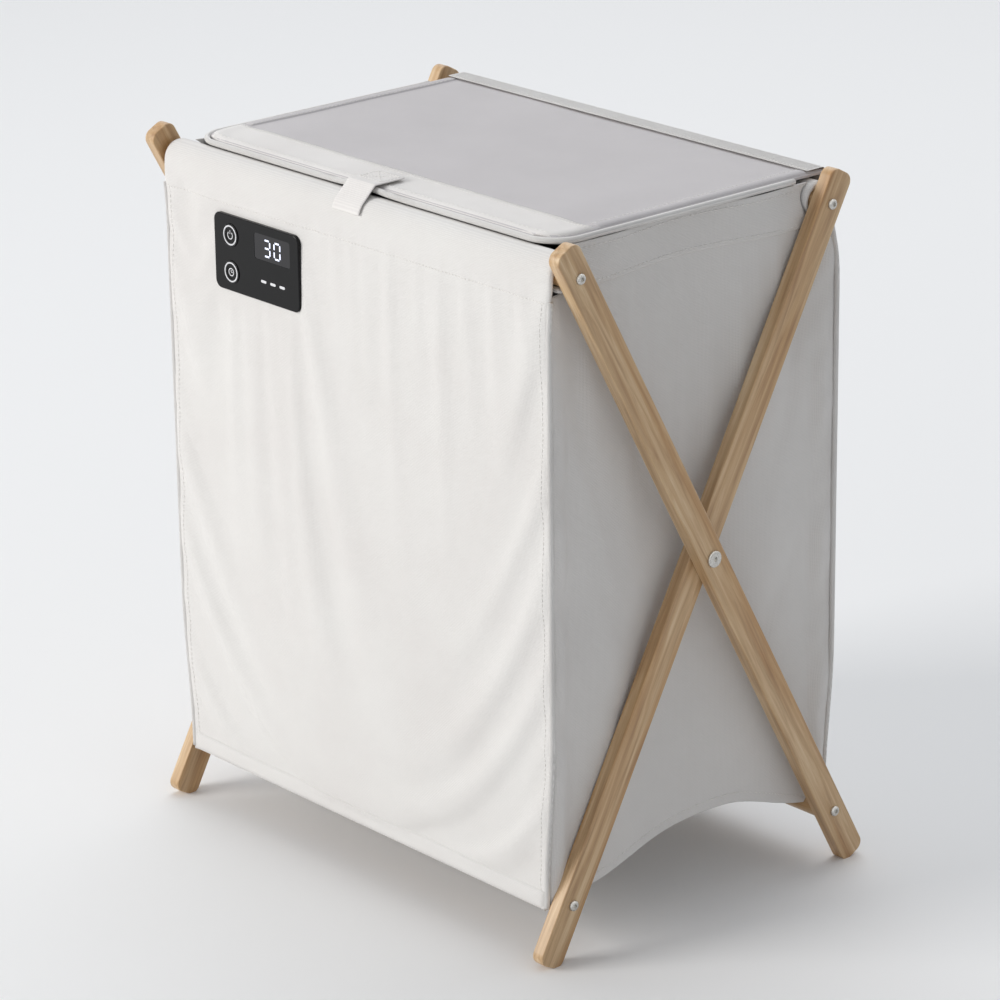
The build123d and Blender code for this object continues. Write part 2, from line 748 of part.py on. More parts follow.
right_gusset = gusset()
save("right_gusset", right_gusset)
save("left_gusset", mirror(right_gusset, about=Plane.YZ))
save("bottom_panel", bottom_panel())

save("lid_cover", lid_cover())
save("lid_board", along_z(lid_outline(lid_side_skin), lid_board_bottom, lid_skin_bottom))
save("lid_lining", along_z(lid_outline(), lid_bottom, lid_board_bottom))
save("lid_piping", lid_piping())
save("lid_hinge_strip", lid_hinge_strip())
save("pull_tab", pull_tab())

save("control_faceplate", faceplate())
save("control_housing", control_housing())
save("control_screws", module_screws())
save("control_board", control_board())
save("button_switches", button_switches())
save("display_window", display_window())
save("display_module", display_module())
save("indicator_lights", indicator_lights())
for name, place in button_places().items():
    save(name, button(place))

save("cord_gland", cord_gland())
save("gland_nut", gland_nut())
save("terminal_box_base", entry_box_base())
save("terminal_box_cover", entry_box_cover())
save("terminal_block", terminal_block())
save("terminal_pins", terminal_pins())
save("supply_lead", supply_lead())
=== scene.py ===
from math import copysign, cos, hypot, pi, radians, sin

import bmesh
import bpy
from mathutils import Matrix, Vector, noise
from mathutils.bvhtree import BVHTree


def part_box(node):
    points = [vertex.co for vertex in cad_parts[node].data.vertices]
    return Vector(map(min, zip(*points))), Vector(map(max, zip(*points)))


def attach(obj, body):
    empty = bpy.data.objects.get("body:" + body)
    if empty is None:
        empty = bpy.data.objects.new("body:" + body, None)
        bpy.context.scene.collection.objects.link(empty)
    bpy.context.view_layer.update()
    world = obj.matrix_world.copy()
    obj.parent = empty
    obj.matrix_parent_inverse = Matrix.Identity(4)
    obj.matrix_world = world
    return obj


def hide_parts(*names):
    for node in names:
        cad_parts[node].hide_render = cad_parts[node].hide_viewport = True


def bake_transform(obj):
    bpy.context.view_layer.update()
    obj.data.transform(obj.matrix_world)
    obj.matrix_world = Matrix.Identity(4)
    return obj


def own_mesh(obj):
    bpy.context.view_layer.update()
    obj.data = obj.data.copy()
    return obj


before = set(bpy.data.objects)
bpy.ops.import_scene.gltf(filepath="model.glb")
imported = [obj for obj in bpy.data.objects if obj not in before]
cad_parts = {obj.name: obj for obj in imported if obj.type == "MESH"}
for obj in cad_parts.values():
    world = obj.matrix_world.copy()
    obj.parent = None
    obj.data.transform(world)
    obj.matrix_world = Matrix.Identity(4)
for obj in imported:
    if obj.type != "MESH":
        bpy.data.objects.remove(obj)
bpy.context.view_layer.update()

mm = 0.001

# the top rails that the fabric hangs on, the radius of the fabric rolled round them, and the legs' lean
rail = {"y": 0.142, "top": 0.5715, "roll": 0.016}
lean = radians(28.5)


# an sRGB hex colour as linear RGBA
def linear(hexColour):
    channels = [int(hexColour[i:i + 2], 16) / 255 for i in (1, 3, 5)]
    return [c / 12.92 if c <= 0.04045 else ((c + 0.055) / 1.055) ** 2.4 for c in channels] + [1.0]


def smoothstep(low, high, value):
    t = min(max((value - low) / (high - low), 0.0), 1.0)
    return t * t * (3 - 2 * t)


def lerp(a, b, t):
    return a + (b - a) * t


# materials

# joins a node's inputs to output sockets
def wire(tree, node, links):
    for key, socket in links.items():
        tree.links.new(socket, node.inputs[key])


# a node with its settings, its links as {input: output socket}, and a ramp's stops as (position, colour)
def addNode(tree, kind, settings=None, links=None, stops=()):
    node = tree.nodes.new(kind)
    for key, value in (settings or {}).items():
        if isinstance(key, int) or key in node.inputs:
            node.inputs[key].default_value = value
        else:
            setattr(node, key, value)
    wire(tree, node, links or {})
    for i, (position, colour) in enumerate(stops):
        element = node.color_ramp.elements[i] if i < 2 else node.color_ramp.elements.new(position)
        element.position, element.color = position, linear(colour)
    return node


# a material whose shader starts from the given settings
def newMaterial(name, settings):
    material = bpy.data.materials.new(name)
    material.use_nodes = True
    shader = material.node_tree.nodes["Principled BSDF"]
    for key, value in settings.items():
        shader.inputs[key].default_value = value
    return material, material.node_tree, shader


# plain-weave cloth: crossing threads with painted shade in the gaps between them, slubs, and a soft
# unevenness in its colour.
# Real threads lie about 0.5 mm apart, which is too fine to show, so most weaves are drawn coarser
def wovenFabric(name, base, shade, look):
    material, tree, shader = newMaterial(name, {
        "Roughness": look["roughness"], "Sheen Weight": 0.18, "Sheen Roughness": 0.5,
        "Specular IOR Level": 0.25})
    coords = addNode(tree, "ShaderNodeTexCoord").outputs["Object"]
    warp, weft = (addNode(tree, "ShaderNodeTexWave",
                          {"bands_direction": direction, "Scale": pi / (10 * look["thread"]),
                           "Distortion": 0.6, "Detail": 1.0, "Detail Scale": 2.0}, {"Vector": coords})
                  for direction in (look["across"], look["along"]))
    weave = addNode(tree, "ShaderNodeMath", {"operation": "MAXIMUM"},
                    {0: warp.outputs["Fac"], 1: weft.outputs["Fac"]})
    slub = addNode(tree, "ShaderNodeTexNoise",
                   {"Scale": 1 / look["slub"], "Detail": 2.0, "Roughness": 0.6}, {"Vector": coords})
    cloud = addNode(tree, "ShaderNodeTexNoise",
                    {"Scale": 1 / look["cloud"], "Detail": 4.0, "Roughness": 0.55}, {"Vector": coords})
    tone = addNode(tree, "ShaderNodeValToRGB", links={"Fac": cloud.outputs["Fac"]},
                   stops=[(0.35, shade), (0.65, base)])
    # the gaps between the threads are darkened as painted shade, where the crossing threads would shadow them
    gapShade = addNode(tree, "ShaderNodeValToRGB", links={"Fac": weave.outputs[0]},
                   stops=[(0.2, "#C4C4C5"), (0.9, "#FFFFFF")])
    colour = addNode(tree, "ShaderNodeMixRGB", {"blend_type": "MULTIPLY", "Fac": look["contrast"]},
                     {"Color1": tone.outputs["Color"], "Color2": gapShade.outputs["Color"]})
    relief = addNode(tree, "ShaderNodeMath", {"operation": "MULTIPLY_ADD", 1: 0.35},
                     {0: slub.outputs["Fac"], 2: weave.outputs[0]})
    bump = addNode(tree, "ShaderNodeBump", {"Strength": look["bump"], "Distance": 0.4 * mm},
                   {"Height": relief.outputs[0]})
    wire(tree, shader, {"Base Color": colour.outputs["Color"], "Normal": bump.outputs["Normal"]})
    return material


# sanded timber: long grain over a broad figure, fine pores, and a clear satin lacquer that softens its
# highlights. turn lays the grain along the piece, and the lower drawn is, the longer is the grain
def timber(name, turn, look):
    material, tree, shader = newMaterial(name, {"Coat Weight": 0.25, "Coat Roughness": 0.3})
    coords = addNode(tree, "ShaderNodeTexCoord").outputs["Object"]
    laid = addNode(tree, "ShaderNodeMapping", {"Rotation": turn}, {"Vector": coords}).outputs[0]
    drawn, short = (addNode(tree, "ShaderNodeMapping", {"Scale": (1.0, 1.0, look[key])},
                            {"Vector": laid}).outputs[0] for key in ("drawn", "poreDrawn"))
    grain = addNode(tree, "ShaderNodeTexNoise",
                    {"Scale": 1 / look["grain"], "Detail": 6.0, "Roughness": 0.62, "Distortion": 0.6},
                    {"Vector": drawn}).outputs["Fac"]
    figure = addNode(tree, "ShaderNodeTexNoise",
                     {"Scale": 1 / look["figure"], "Detail": 3.0, "Distortion": 1.2}, {"Vector": drawn})
    pore = addNode(tree, "ShaderNodeTexVoronoi", {"Scale": 1 / look["pore"]}, {"Vector": short})
    tone = addNode(tree, "ShaderNodeValToRGB", links={"Fac": grain},
                   stops=[(0.3, look["dark"]), (0.52, look["middle"]), (0.72, look["light"])])
    bands = addNode(tree, "ShaderNodeValToRGB", links={"Fac": figure.outputs["Fac"]},
                    stops=[(0.36, look["band"]), (0.6, "#FFFFFF")])
    pores = addNode(tree, "ShaderNodeValToRGB", links={"Fac": pore.outputs["Distance"]},
                    stops=[(0.0, "#DDCEBC"), (0.12, "#FFFFFF")])
    banded = addNode(tree, "ShaderNodeMixRGB", {"blend_type": "MULTIPLY", "Fac": 0.8},
                     {"Color1": tone.outputs["Color"], "Color2": bands.outputs["Color"]})
    colour = addNode(tree, "ShaderNodeMixRGB", {"blend_type": "MULTIPLY", "Fac": 0.55},
                     {"Color1": banded.outputs["Color"], "Color2": pores.outputs["Color"]})
    rough = addNode(tree, "ShaderNodeMapRange", {"To Min": 0.34, "To Max": 0.52}, {"Value": grain})
    bump = addNode(tree, "ShaderNodeBump", {"Strength": 0.25, "Distance": 0.4 * mm}, {"Height": grain})
    wire(tree, shader, {"Base Color": colour.outputs["Color"], "Roughness": rough.outputs["Result"],
                        "Normal": bump.outputs["Normal"]})
    return material


# bright metal: mirror-like, broken by faint turning marks
def brightMetal(name, dark, light):
    material, tree, shader = newMaterial(name, {"Metallic": 1.0})
    coords = addNode(tree, "ShaderNodeTexCoord").outputs["Object"]
    marks = addNode(tree, "ShaderNodeTexNoise", {"Scale": 1 / (1.4 * mm), "Detail": 3.0},
                    {"Vector": coords}).outputs["Fac"]
    tone = addNode(tree, "ShaderNodeValToRGB", links={"Fac": marks}, stops=[(0.3, dark), (0.7, light)])
    rough = addNode(tree, "ShaderNodeMapRange", {"To Min": 0.2, "To Max": 0.38}, {"Value": marks})
    wire(tree, shader, {"Base Color": tone.outputs["Color"], "Roughness": rough.outputs["Result"]})
    return material


# moulded plastic: the grit of its mould as bump, and a handled surface that is duller in places
def mouldedPlastic(name, base, shade, look):
    material, tree, shader = newMaterial(name, {
        "Coat Weight": look["coat"], "Coat Roughness": 0.06, "Specular IOR Level": look["specular"]})
    coords = addNode(tree, "ShaderNodeTexCoord").outputs["Object"]
    grit = addNode(tree, "ShaderNodeTexNoise", {"Scale": 1 / look["grit"], "Detail": 3.0}, {"Vector": coords})
    smear = addNode(tree, "ShaderNodeTexNoise", {"Scale": 1 / (18 * mm), "Detail": 4.0, "Roughness": 0.6},
                    {"Vector": coords}).outputs["Fac"]
    tone = addNode(tree, "ShaderNodeValToRGB", links={"Fac": smear}, stops=[(0.3, shade), (0.7, base)])
    low, high = look["roughness"]
    rough = addNode(tree, "ShaderNodeMapRange", {"To Min": low, "To Max": high}, {"Value": smear})
    bump = addNode(tree, "ShaderNodeBump", {"Strength": look["bump"], "Distance": 0.2 * mm},
                   {"Height": grit.outputs["Fac"]})
    wire(tree, shader, {"Base Color": tone.outputs["Color"], "Roughness": rough.outputs["Result"],
                        "Normal": bump.outputs["Normal"]})
    return material


# woven polyester: matt, with threads just visible. The lid's is greyer, as painted shade on its upward-facing
# top, and the tapes have a finer weave
wallCloth = {"across": "X", "along": "Z", "thread": 1.25 * mm, "slub": 1.1 * mm, "cloud": 110 * mm,
             "contrast": 0.22, "bump": 0.55, "roughness": 0.82}
flatCloth = dict(wallCloth, along="Y", bump=0.5, roughness=0.8)
fabric = wovenFabric("bin_fabric", "#E9E7E4", "#E5E2DF", wallCloth)
gussetFabric = wovenFabric("gusset_fabric", "#E4E1DE", "#DFDCD9", dict(wallCloth, across="Y"))
bottomFabric = wovenFabric("bottom_fabric", "#E4E1DE", "#DFDCD9", flatCloth)
# the lid's grey is painted shade: its upward-facing top drawn darker than the walls' cloth
shadedLidFabric = wovenFabric("lid_fabric", "#CFCBCC", "#C9C5C6", flatCloth)
bandFabric = wovenFabric("lid_band_fabric", "#F1EEEB", "#E8E4E1", flatCloth)
tapeFabric = wovenFabric("binding_tape", "#F1EFEC", "#E6E3E0", dict(wallCloth, thread=0.45 * mm, bump=0.7))
# brushed lining: fine and soft, a little darker than the walls
liningFabric = wovenFabric("quilted_lining", "#DDD9D6", "#D0CCC9", dict(wallCloth, thread=0.5 * mm, bump=0.4))
# needled felt: dull grey and coarse
felt = wovenFabric("heating_felt", "#A8A4A0", "#98948F", dict(wallCloth, thread=1.05 * mm))

# beech, sanded and lacquered: pale honey with long soft streaks and short dark flecks
beech = {"grain": 5.3 * mm, "figure": 24 * mm, "pore": 1.6 * mm, "drawn": 0.055, "poreDrawn": 0.16,
         "dark": "#AE8C66", "middle": "#CDAE86", "light": "#E0C8A4", "band": "#DCC4A2"}
outerWood = timber("beech_outer_legs", (-lean, 0, 0), beech)
innerWood = timber("beech_inner_legs", (lean, 0, 0), beech)
railWood = timber("beech_rails", (0, radians(90), 0), beech)
# pressed hardboard: flat brown
hardboard = timber("dense_hardboard", (0, 0, 0),
                   dict(beech, dark="#6E5638", middle="#80674A", light="#92795A", band="#DCD0BE"))

# nickel plate on turned steel: cool and bright. Turned brass: warm and bright
steel = brightMetal("nickel_plated_steel", "#B4B2AE", "#D9D7D2")
brass = brightMetal("plain_brass", "#B08D4A", "#D8B56C")

# unpainted plastics: nylon like wax, white housings, a dull cable sleeve, and spun thread with a soft shine
moulded = {"grit": 1.1 * mm, "roughness": (0.4, 0.55), "bump": 0.2, "coat": 0.0, "specular": 0.5}
nylon = mouldedPlastic("natural_nylon", "#E8E5DC", "#D8D4CA", moulded)
whitePlastic = mouldedPlastic("white_plastic", "#E9E8E4", "#DCDBD6", dict(moulded, grit=0.67 * mm, bump=0.3))
cable = mouldedPlastic("cable_sleeve", "#D3D0CC", "#C6C3BF",
                       dict(moulded, grit=1.25 * mm, roughness=(0.45, 0.6)))
thread = mouldedPlastic("sewing_thread", "#F6F4F0", "#E2DFDA",
                        dict(moulded, grit=0.25 * mm, roughness=(0.55, 0.75), bump=0.5))
# textured ABS: black without a highlight
matteBlack = mouldedPlastic("textured_black", "#1B1B1D", "#141415",
                            dict(moulded, grit=0.55 * mm, roughness=(0.5, 0.68), bump=0.5))
# polished ABS: deep black with clear but weak reflections
polished = dict(moulded, grit=3.3 * mm, roughness=(0.08, 0.16), bump=0.02, specular=0.22)
glossBlack = mouldedPlastic("piano_black", "#08080A", "#050506", polished)
# smoked acrylic: a glassy window, a shade lighter than the panel round it
smoked = mouldedPlastic("smoked_window", "#0E0C13", "#0A090D",
                        dict(polished, roughness=(0.05, 0.1), bump=0.01, specular=0.5))
# printed ink and lit segments: even white, the segments a little blue and glowing
printed = dict(moulded, roughness=(0.35, 0.5), bump=0.1)
printedWhite = mouldedPlastic("white_print", "#E8E8EA", "#D2D2D6", printed)
glow = mouldedPlastic("lit_segments", "#F4F6FF", "#E6E9F5", printed)
lit = glow.node_tree.nodes["Principled BSDF"].inputs
lit["Emission Color"].default_value, lit["Emission Strength"].default_value = linear("#DCE6FF"), 0.8
# solder mask on glass fibre: green under a thin varnish
boardGreen = mouldedPlastic("green_circuit_board", "#1E5C36", "#174A2B",
                            dict(printed, grit=2.5 * mm, roughness=(0.3, 0.45), coat=0.3))

finishes = {
    outerWood: ["outer_leg_left", "outer_leg_right"],
    innerWood: ["inner_leg_left", "inner_leg_right"],
    railWood: ["front_top_rail", "rear_bottom_rail", "rear_top_rail", "front_bottom_rail"],
    steel: ["outer_frame_screws", "inner_frame_screws", "pivot_bolts", "pivot_sleeve_nuts", "control_screws"],
    nylon: ["pivot_washers"],
    glossBlack: ["control_faceplate", "power_button", "timer_button"],
    matteBlack: ["control_housing", "button_switches", "display_module", "cord_gland", "gland_nut",
                 "front_thermal_cutoff", "rear_thermal_cutoff"],
    smoked: ["display_window"],
    printedWhite: ["indicator_lights"],
    whitePlastic: ["terminal_box_base", "terminal_box_cover", "terminal_block"],
    boardGreen: ["control_board"],
    brass: ["terminal_pins"],
    felt: ["front_heating_pad", "rear_heating_pad"],
    hardboard: ["lid_board"],
}
for material, nodes in finishes.items():
    for name in nodes:
        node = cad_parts[name]
        node.data.materials.clear()
        node.data.materials.append(material)
print("materials ready")


# making pieces

def addObject(name, data):
    thing = bpy.data.objects.new(name, data)
    bpy.context.scene.collection.objects.link(thing)
    return thing


def meshFrom(name, bm):
    mesh = bpy.data.meshes.new(name)
    bm.to_mesh(mesh)
    bm.free()
    return mesh


# turns a bmesh into a smooth piece that rides on a body
def finishPiece(name, bm, material, body, levels=0):
    bmesh.ops.recalc_face_normals(bm, faces=bm.faces)
    mesh = meshFrom(name, bm)
    mesh.materials.append(material)
    mesh.shade_smooth()
    piece = addObject(name, mesh)
    if levels:
        smoother = piece.modifiers.new("smoother", "SUBSURF")
        smoother.levels = levels
        smoother.render_levels = levels
    if body:
        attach(piece, body)
    return piece


# a grid of look's columns and rows whose points are placed by a function of (u, v), each from 0 to 1
def makeGrid(look, place):
    bm = bmesh.new()
    bmesh.ops.create_grid(bm, x_segments=look["columns"], y_segments=look["rows"], size=0.5)
    for vert in bm.verts:
        vert.co = place(vert.co.x + 0.5, vert.co.y + 0.5)
    return bm


# light cloth that hardly stretches along its threads and gives more across them
cloth = {"quality": 5, "mass": 0.3, "vertex_group_mass": "held", "tension_stiffness": 15,
         "compression_stiffness": 15, "shear_stiffness": 5, "use_pressure": True}


# lets a sheet hang as cloth between its held points and returns how far each point moved
def relaxed(look, place, isHeld):
    hang = look["hang"]
    flat = makeGrid(look, lambda u, v: Vector((u, v, 0)))
    held = [vert.index for vert in flat.verts if isHeld(vert.co.x, vert.co.y)]
    flat.free()
    bm = makeGrid(look, place)
    start = [vert.co.copy() for vert in bm.verts]
    sheet = addObject("hanging", meshFrom("hanging", bm))
    sheet.vertex_groups.new(name="held").add(held, 1.0, "REPLACE")
    hanging = sheet.modifiers.new("hanging", "CLOTH")
    physics = hanging.settings
    for key, value in cloth.items():
        setattr(physics, key, value)
    physics.bending_stiffness = hang["bending"]
    physics.shrink_min = hang["shrink"]
    physics.uniform_pressure_force = hang["pressure"]
    physics.effector_weights.gravity = hang["gravity"]
    hanging.collision_settings.use_collision = False
    scene = bpy.context.scene
    for step in range(1, hang["frames"] + 1):
        scene.frame_set(step)
    settled = sheet.evaluated_get(bpy.context.evaluated_depsgraph_get())
    moves = []
    for vert, origin in zip(settled.data.vertices, start):
        move = vert.co - origin
        moves.append(move * min(1.0, hang["cap"] / max(move.length, 1e-9)))
    scene.frame_set(1)
    bpy.data.objects.remove(sheet)
    return moves


# a closed soft sheet: an outer and an inner face placed by functions of (u, v), joined round their rims
def makeShell(look, outside, inside, moves=None, innerShare=0.0):
    bm, inner = makeGrid(look, outside), makeGrid(look, inside)
    if moves:
        for vert, move in zip(bm.verts, moves):
            vert.co += move
        for vert, move in zip(inner.verts, moves):
            vert.co += move * innerShare
    spare = meshFrom("spare", inner)
    bm.from_mesh(spare)
    bpy.data.meshes.remove(spare)
    rims = [edge for edge in bm.edges if edge.is_boundary]
    bmesh.ops.bridge_loops(bm, edges=rims)
    return bm


# a function that drops a point onto a finished piece along an axis, from a metre outside, or to rest where
# it misses
def castOnto(piece, axis, rest):
    tree = BVHTree.FromObject(piece, bpy.context.evaluated_depsgraph_get())

    def drop(point):
        origin = point.copy()
        origin[axis] = copysign(1.0, rest)
        direction = Vector((0, 0, 0))
        direction[axis] = -origin[axis]
        hit = tree.ray_cast(origin, direction)[0]
        if hit:
            return hit
        origin[axis] = rest
        return origin
    return drop


# a flat tape sewn onto a surface: it stands lift proud, with rims that thin out over the last cell
tapeRim = {"cells": 0.9, "thin": 0.15, "sunk": 0.6}


def layStrip(columns, rows, spot, drop, lift):
    def top(u, v):
        cells = min(min(u, 1 - u) * columns, min(v, 1 - v) * rows)
        return drop(spot(u, v)) + lift * lerp(tapeRim["thin"], 1.0, min(1.0, cells / tapeRim["cells"]))

    def under(u, v):
        return drop(spot(u, v)) - lift * tapeRim["sunk"]
    return makeShell({"columns": columns, "rows": rows}, top, under)


# stitches: short threads in line, with a gap of a share of their pitch at each end, thick enough to show.
# A long row and a column are laid in this many steps
stitch = {"pitch": 4.2 * mm, "radius": 0.33 * mm, "gap": 0.12, "lift": 0.15 * mm}
rowSteps, columnSteps = 40, 24
bm = bmesh.new()
bmesh.ops.create_uvsphere(bm, u_segments=6, v_segments=4, radius=1.0)
stitchShape = meshFrom("stitch", bm)


# points at even steps along a straight line
def straightRow(start, end, steps):
    return [Vector([lerp(a, b, i / steps) for a, b in zip(start, end)]) for i in range(steps + 1)]


# sews along a line of points, each stitch lying on the surface
def sewLine(bm, points, drop, out, look=stitch):
    for a, b in zip(points, points[1:]):
        step = b - a
        count = max(1, round(step.length / look["pitch"]))
        for i in range(count):
            ends = [drop(a + step * ((i + share) / count)) + out * look["lift"]
                    for share in (look["gap"], 1 - look["gap"])]
            along = ends[1] - ends[0]
            if along.length > 2 * look["pitch"] or along.length < 1e-5:
                continue
            size = Matrix.Diagonal((along.length / 2, look["radius"], look["radius"], 1))
            turn = along.to_track_quat("X", "Z").to_matrix().to_4x4()
            one = stitchShape.copy()
            one.transform(Matrix.Translation((ends[0] + ends[1]) / 2) @ turn @ size)
            bm.from_mesh(one)
            bpy.data.meshes.remove(one)


# a piece of stitches, from seams that each hold what sewLine takes
def makeStitches(name, body, seams):
    bm = bmesh.new()
    for seam in seams:
        sewLine(bm, *seam)
    return finishPiece(name, bm, thread, body)


# a round bead along a smooth line, such as piping or a cable, as a mesh
def makeBead(name, points, radius, material, body):
    curve = bpy.data.curves.new(name, "CURVE")
    curve.dimensions = "3D"
    curve.bevel_depth = radius
    curve.bevel_resolution = 3
    curve.resolution_u = 8
    curve.use_fill_caps = True
    spline = curve.splines.new("NURBS")
    spline.points.add(len(points) - 1)
    for knot, point in zip(spline.points, points):
        knot.co = (*point, 1)
    spline.order_u = 3
    spline.use_endpoint_u = True
    holder = addObject(name, curve)
    mesh = bpy.data.meshes.new_from_object(holder.evaluated_get(bpy.context.evaluated_depsgraph_get()))
    bpy.data.objects.remove(holder)
    bm = bmesh.new()
    bm.from_mesh(mesh)
    bmesh.ops.remove_doubles(bm, verts=bm.verts, dist=1e-6)
    bpy.data.meshes.remove(mesh)
    return finishPiece(name, bm, material, body)


# half of a width whose corners are rounded, at a distance from its end
def roundedHalf(half, corner, fromEnd):
    short = max(corner - fromEnd, 0.0)
    return half - corner + max(corner ** 2 - short ** 2, 0.0) ** 0.5


# how the soft sides close up as the frame folds: the rails come to railsApart, and what lies between the
# walls, the linings and the rolled tops keeps the room that is left there. These three give how far they are
# from the middle plane
folded = {"railsApart": 36.3 * mm, "slack": 0.8 * mm, "walls": 0.155, "linings": 0.149, "rolls": 0.1257,
          "rollsKeep": 0.014}
folded["closing"] = 2 * rail["y"] - folded["railsApart"]
folded["wallsKeep"] = 1 - (folded["closing"] + folded["slack"]) / (2 * folded["walls"])
folded["liningsKeep"] = 1 - folded["closing"] / (2 * folded["linings"])


# the two walls

frontWall = {
    "name": "front_wall_fabric", "node": "front_panel", "body": "front_wall", "side": -1,
    "columns": 72, "rows": 92,
    # half the width at the foot, above it and round the roll, and the heights where it changes
    "foot": 0.229, "half": 0.2368, "rollHalf": 0.2398, "widens": (0.0585, 0.19), "shoulder": 0.545,
    # how far the sheet goes round its rail, its inner face's distance from the rail's axis there and below,
    # and the share of the drop in which that changes
    "turn": radians(305), "innerRoll": 10.7 * mm, "innerFace": 13.0 * mm, "settled": 0.05,
    # the bulge ends just above the hem and stays full towards the edges. The sheet may sink by deepest, and
    # its inner face takes a share of the outer one's moves
    "proud": 3.0 * mm, "proudEnd": 1.02, "fullness": 0.6, "deepest": 1.2 * mm, "innerShare": 0.3,
    "hem": 0.0425, "hemDepth": 17 * mm, "stitchRows": [0.5505, 0.0575],
    # what holds the sheet: its roll, hem and edges, and stiff parts as x, z, half width, half height
    "heldRoll": 0.16, "heldHem": 0.985, "heldEdge": 0.012, "stiff": [(-0.1135, 0.510, 0.058, 0.036)],
    "hang": {"bending": 1.2, "shrink": -0.012, "pressure": -0.35, "gravity": 0.6, "frames": 22,
             "cap": 5.5 * mm},
}
rearWall = dict(frontWall, name="rear_wall_fabric", node="rear_panel", body="rear_wall", side=1,
                rollHalf=0.2288, shoulder=0.521, stiff=[(-0.150, 0.118, 0.016, 0.016)],
                hang=dict(frontWall["hang"], pressure=0.35))
wallSewing = {"rowInset": 4 * mm, "columnInset": 7.5 * mm, "columnTop": 0.552, "columnLow": 3 * mm,
              "bindingInset": 0.6 * mm, "bindingY": 156.4 * mm, "bindingRadius": 2.3 * mm,
              "hemLow": 0.6 * mm, "hemInset": 1.5 * mm, "hemThick": 0.8 * mm}


# half a wall's width at a height
def wallHalf(wall, z):
    width = lerp(wall["foot"], wall["half"], smoothstep(*wall["widens"], z))
    return lerp(width, wall["rollHalf"], smoothstep(wall["shoulder"], rail["top"] - rail["roll"], z))


# a wall's sheet: round its rail from the seam inside, over the top, then down to its hem
def wallPlace(wall, radius, offset, proud=0.0):
    arc = wall["turn"] * rail["roll"]
    drop = rail["top"] - wall["hem"]
    share = arc / (arc + drop)

    def place(u, v):
        if v < share:
            angle = wall["turn"] * (1 - v / share)
            y = rail["y"] + radius * cos(angle)
            z = rail["top"] + radius * sin(angle)
            half = wall["rollHalf"]
        else:
            t = (v - share) / (1 - share)
            z = rail["top"] - drop * t
            y = rail["y"] + lerp(radius, offset, smoothstep(0.0, wall["settled"], t))
            y += proud * sin(pi * min(t * wall["proudEnd"], 1.0)) * sin(pi * u) ** wall["fullness"]
            half = wallHalf(wall, z)
        return Vector((lerp(-half, half, u), wall["side"] * y, z))
    return place


# one fabric wall with its rolled top, as a padded sheet that has hung for a moment
def makeWall(wall):
    outside = wallPlace(wall, rail["roll"], rail["roll"], wall["proud"])
    inside = wallPlace(wall, wall["innerRoll"], wall["innerFace"])

    def isHeld(u, v):
        point = outside(u, v)
        atStiff = any(abs(point.x - x) < w and abs(point.z - z) < h for x, z, w, h in wall["stiff"])
        return atStiff or v < wall["heldRoll"] or v > wall["heldHem"] or min(u, 1 - u) < wall["heldEdge"]
    moves = relaxed(wall, outside, isHeld)
    for move in moves or []:
        inward = -wall["side"] * move.y
        move.y = -wall["side"] * min(inward, wall["deepest"])
    bm = makeShell(wall, outside, inside, moves, wall["innerShare"])
    piece = finishPiece(wall["name"], bm, fabric, wall["body"], levels=1)
    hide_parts(wall["node"])
    return piece


# bindings down both edges, the hem tape, and the stitches of hem, sleeve and edges
def addWallSewing(wall, piece):
    sewn, name, body, side = wallSewing, wall["name"], wall["body"], wall["side"]
    drop = castOnto(piece, 1, side * (rail["y"] + rail["roll"]))
    out = Vector((0, side, 0))
    seams = []
    for z in wall["stitchRows"]:
        half = wallHalf(wall, z) - sewn["rowInset"]
        seams.append((straightRow((-half, 0, z), (half, 0, z), rowSteps), drop, out))
    low = wall["hem"] + sewn["columnLow"]
    heights = [lerp(sewn["columnTop"], low, i / columnSteps) for i in range(columnSteps + 1)]
    for end, word in ((-1, "left"), (1, "right")):
        column = [Vector((end * (wallHalf(wall, z) - sewn["columnInset"]), 0, z)) for z in heights]
        seams.append((column, drop, out))
        edge = [Vector((end * (wallHalf(wall, z) - sewn["bindingInset"]), side * sewn["bindingY"], z))
                for z in heights]
        makeBead(f"{name}_binding_{word}", edge, sewn["bindingRadius"], tapeFabric, body)
    makeStitches(f"{name}_stitches", body, seams)

    def hem(u, v):
        z = lerp(wall["hem"] + sewn["hemLow"], wall["hem"] + wall["hemDepth"], v)
        half = wallHalf(wall, z) - sewn["hemInset"]
        return Vector((lerp(-half, half, u), 0, z))
    finishPiece(f"{name}_hem", layStrip(70, 5, hem, drop, out * sewn["hemThick"]), fabric, body)


for wall in (frontWall, rearWall):
    addWallSewing(wall, makeWall(wall))
print("walls ready")


# linings

# inner and outer are the faces' distances from the middle plane. A pillow is deep between two seams, and the
# rim is pinched
lining = {"columns": 96, "rows": 48, "low": 0.062, "high": 0.5525, "half": 0.220, "corner": 12 * mm,
          "channel": 0.055, "inner": 148.6 * mm, "outer": 154.9 * mm, "pillow": 2.2 * mm, "fullness": 0.55,
          "rim": 7 * mm, "pinch": 1.2 * mm}


# the padded lining inside a wall, sewn in upright channels, with rounded corners
def makeLining(name, node, side, body):
    low, high, half = lining["low"], lining["high"], lining["half"]

    def face(depth, pillow):
        def place(u, v):
            z = lerp(low, high, v)
            width = roundedHalf(half, lining["corner"], min(z - low, high - z))
            x = lerp(-width, width, u)
            inward = min(u * 2 * half, (1 - u) * 2 * half, z - low, high - z)
            rim = smoothstep(0.0, lining["rim"], inward)
            swell = abs(sin(pi * (x + half) / lining["channel"])) ** lining["fullness"]
            return Vector((x, side * (depth + pillow * rim * (1 - swell) + lining["pinch"] * (1 - rim)), z))
        return place
    bm = makeShell(lining, face(lining["inner"], lining["pillow"]), face(lining["outer"], 0.0))
    piece = finishPiece(name, bm, liningFabric, body, levels=1)
    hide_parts(node)


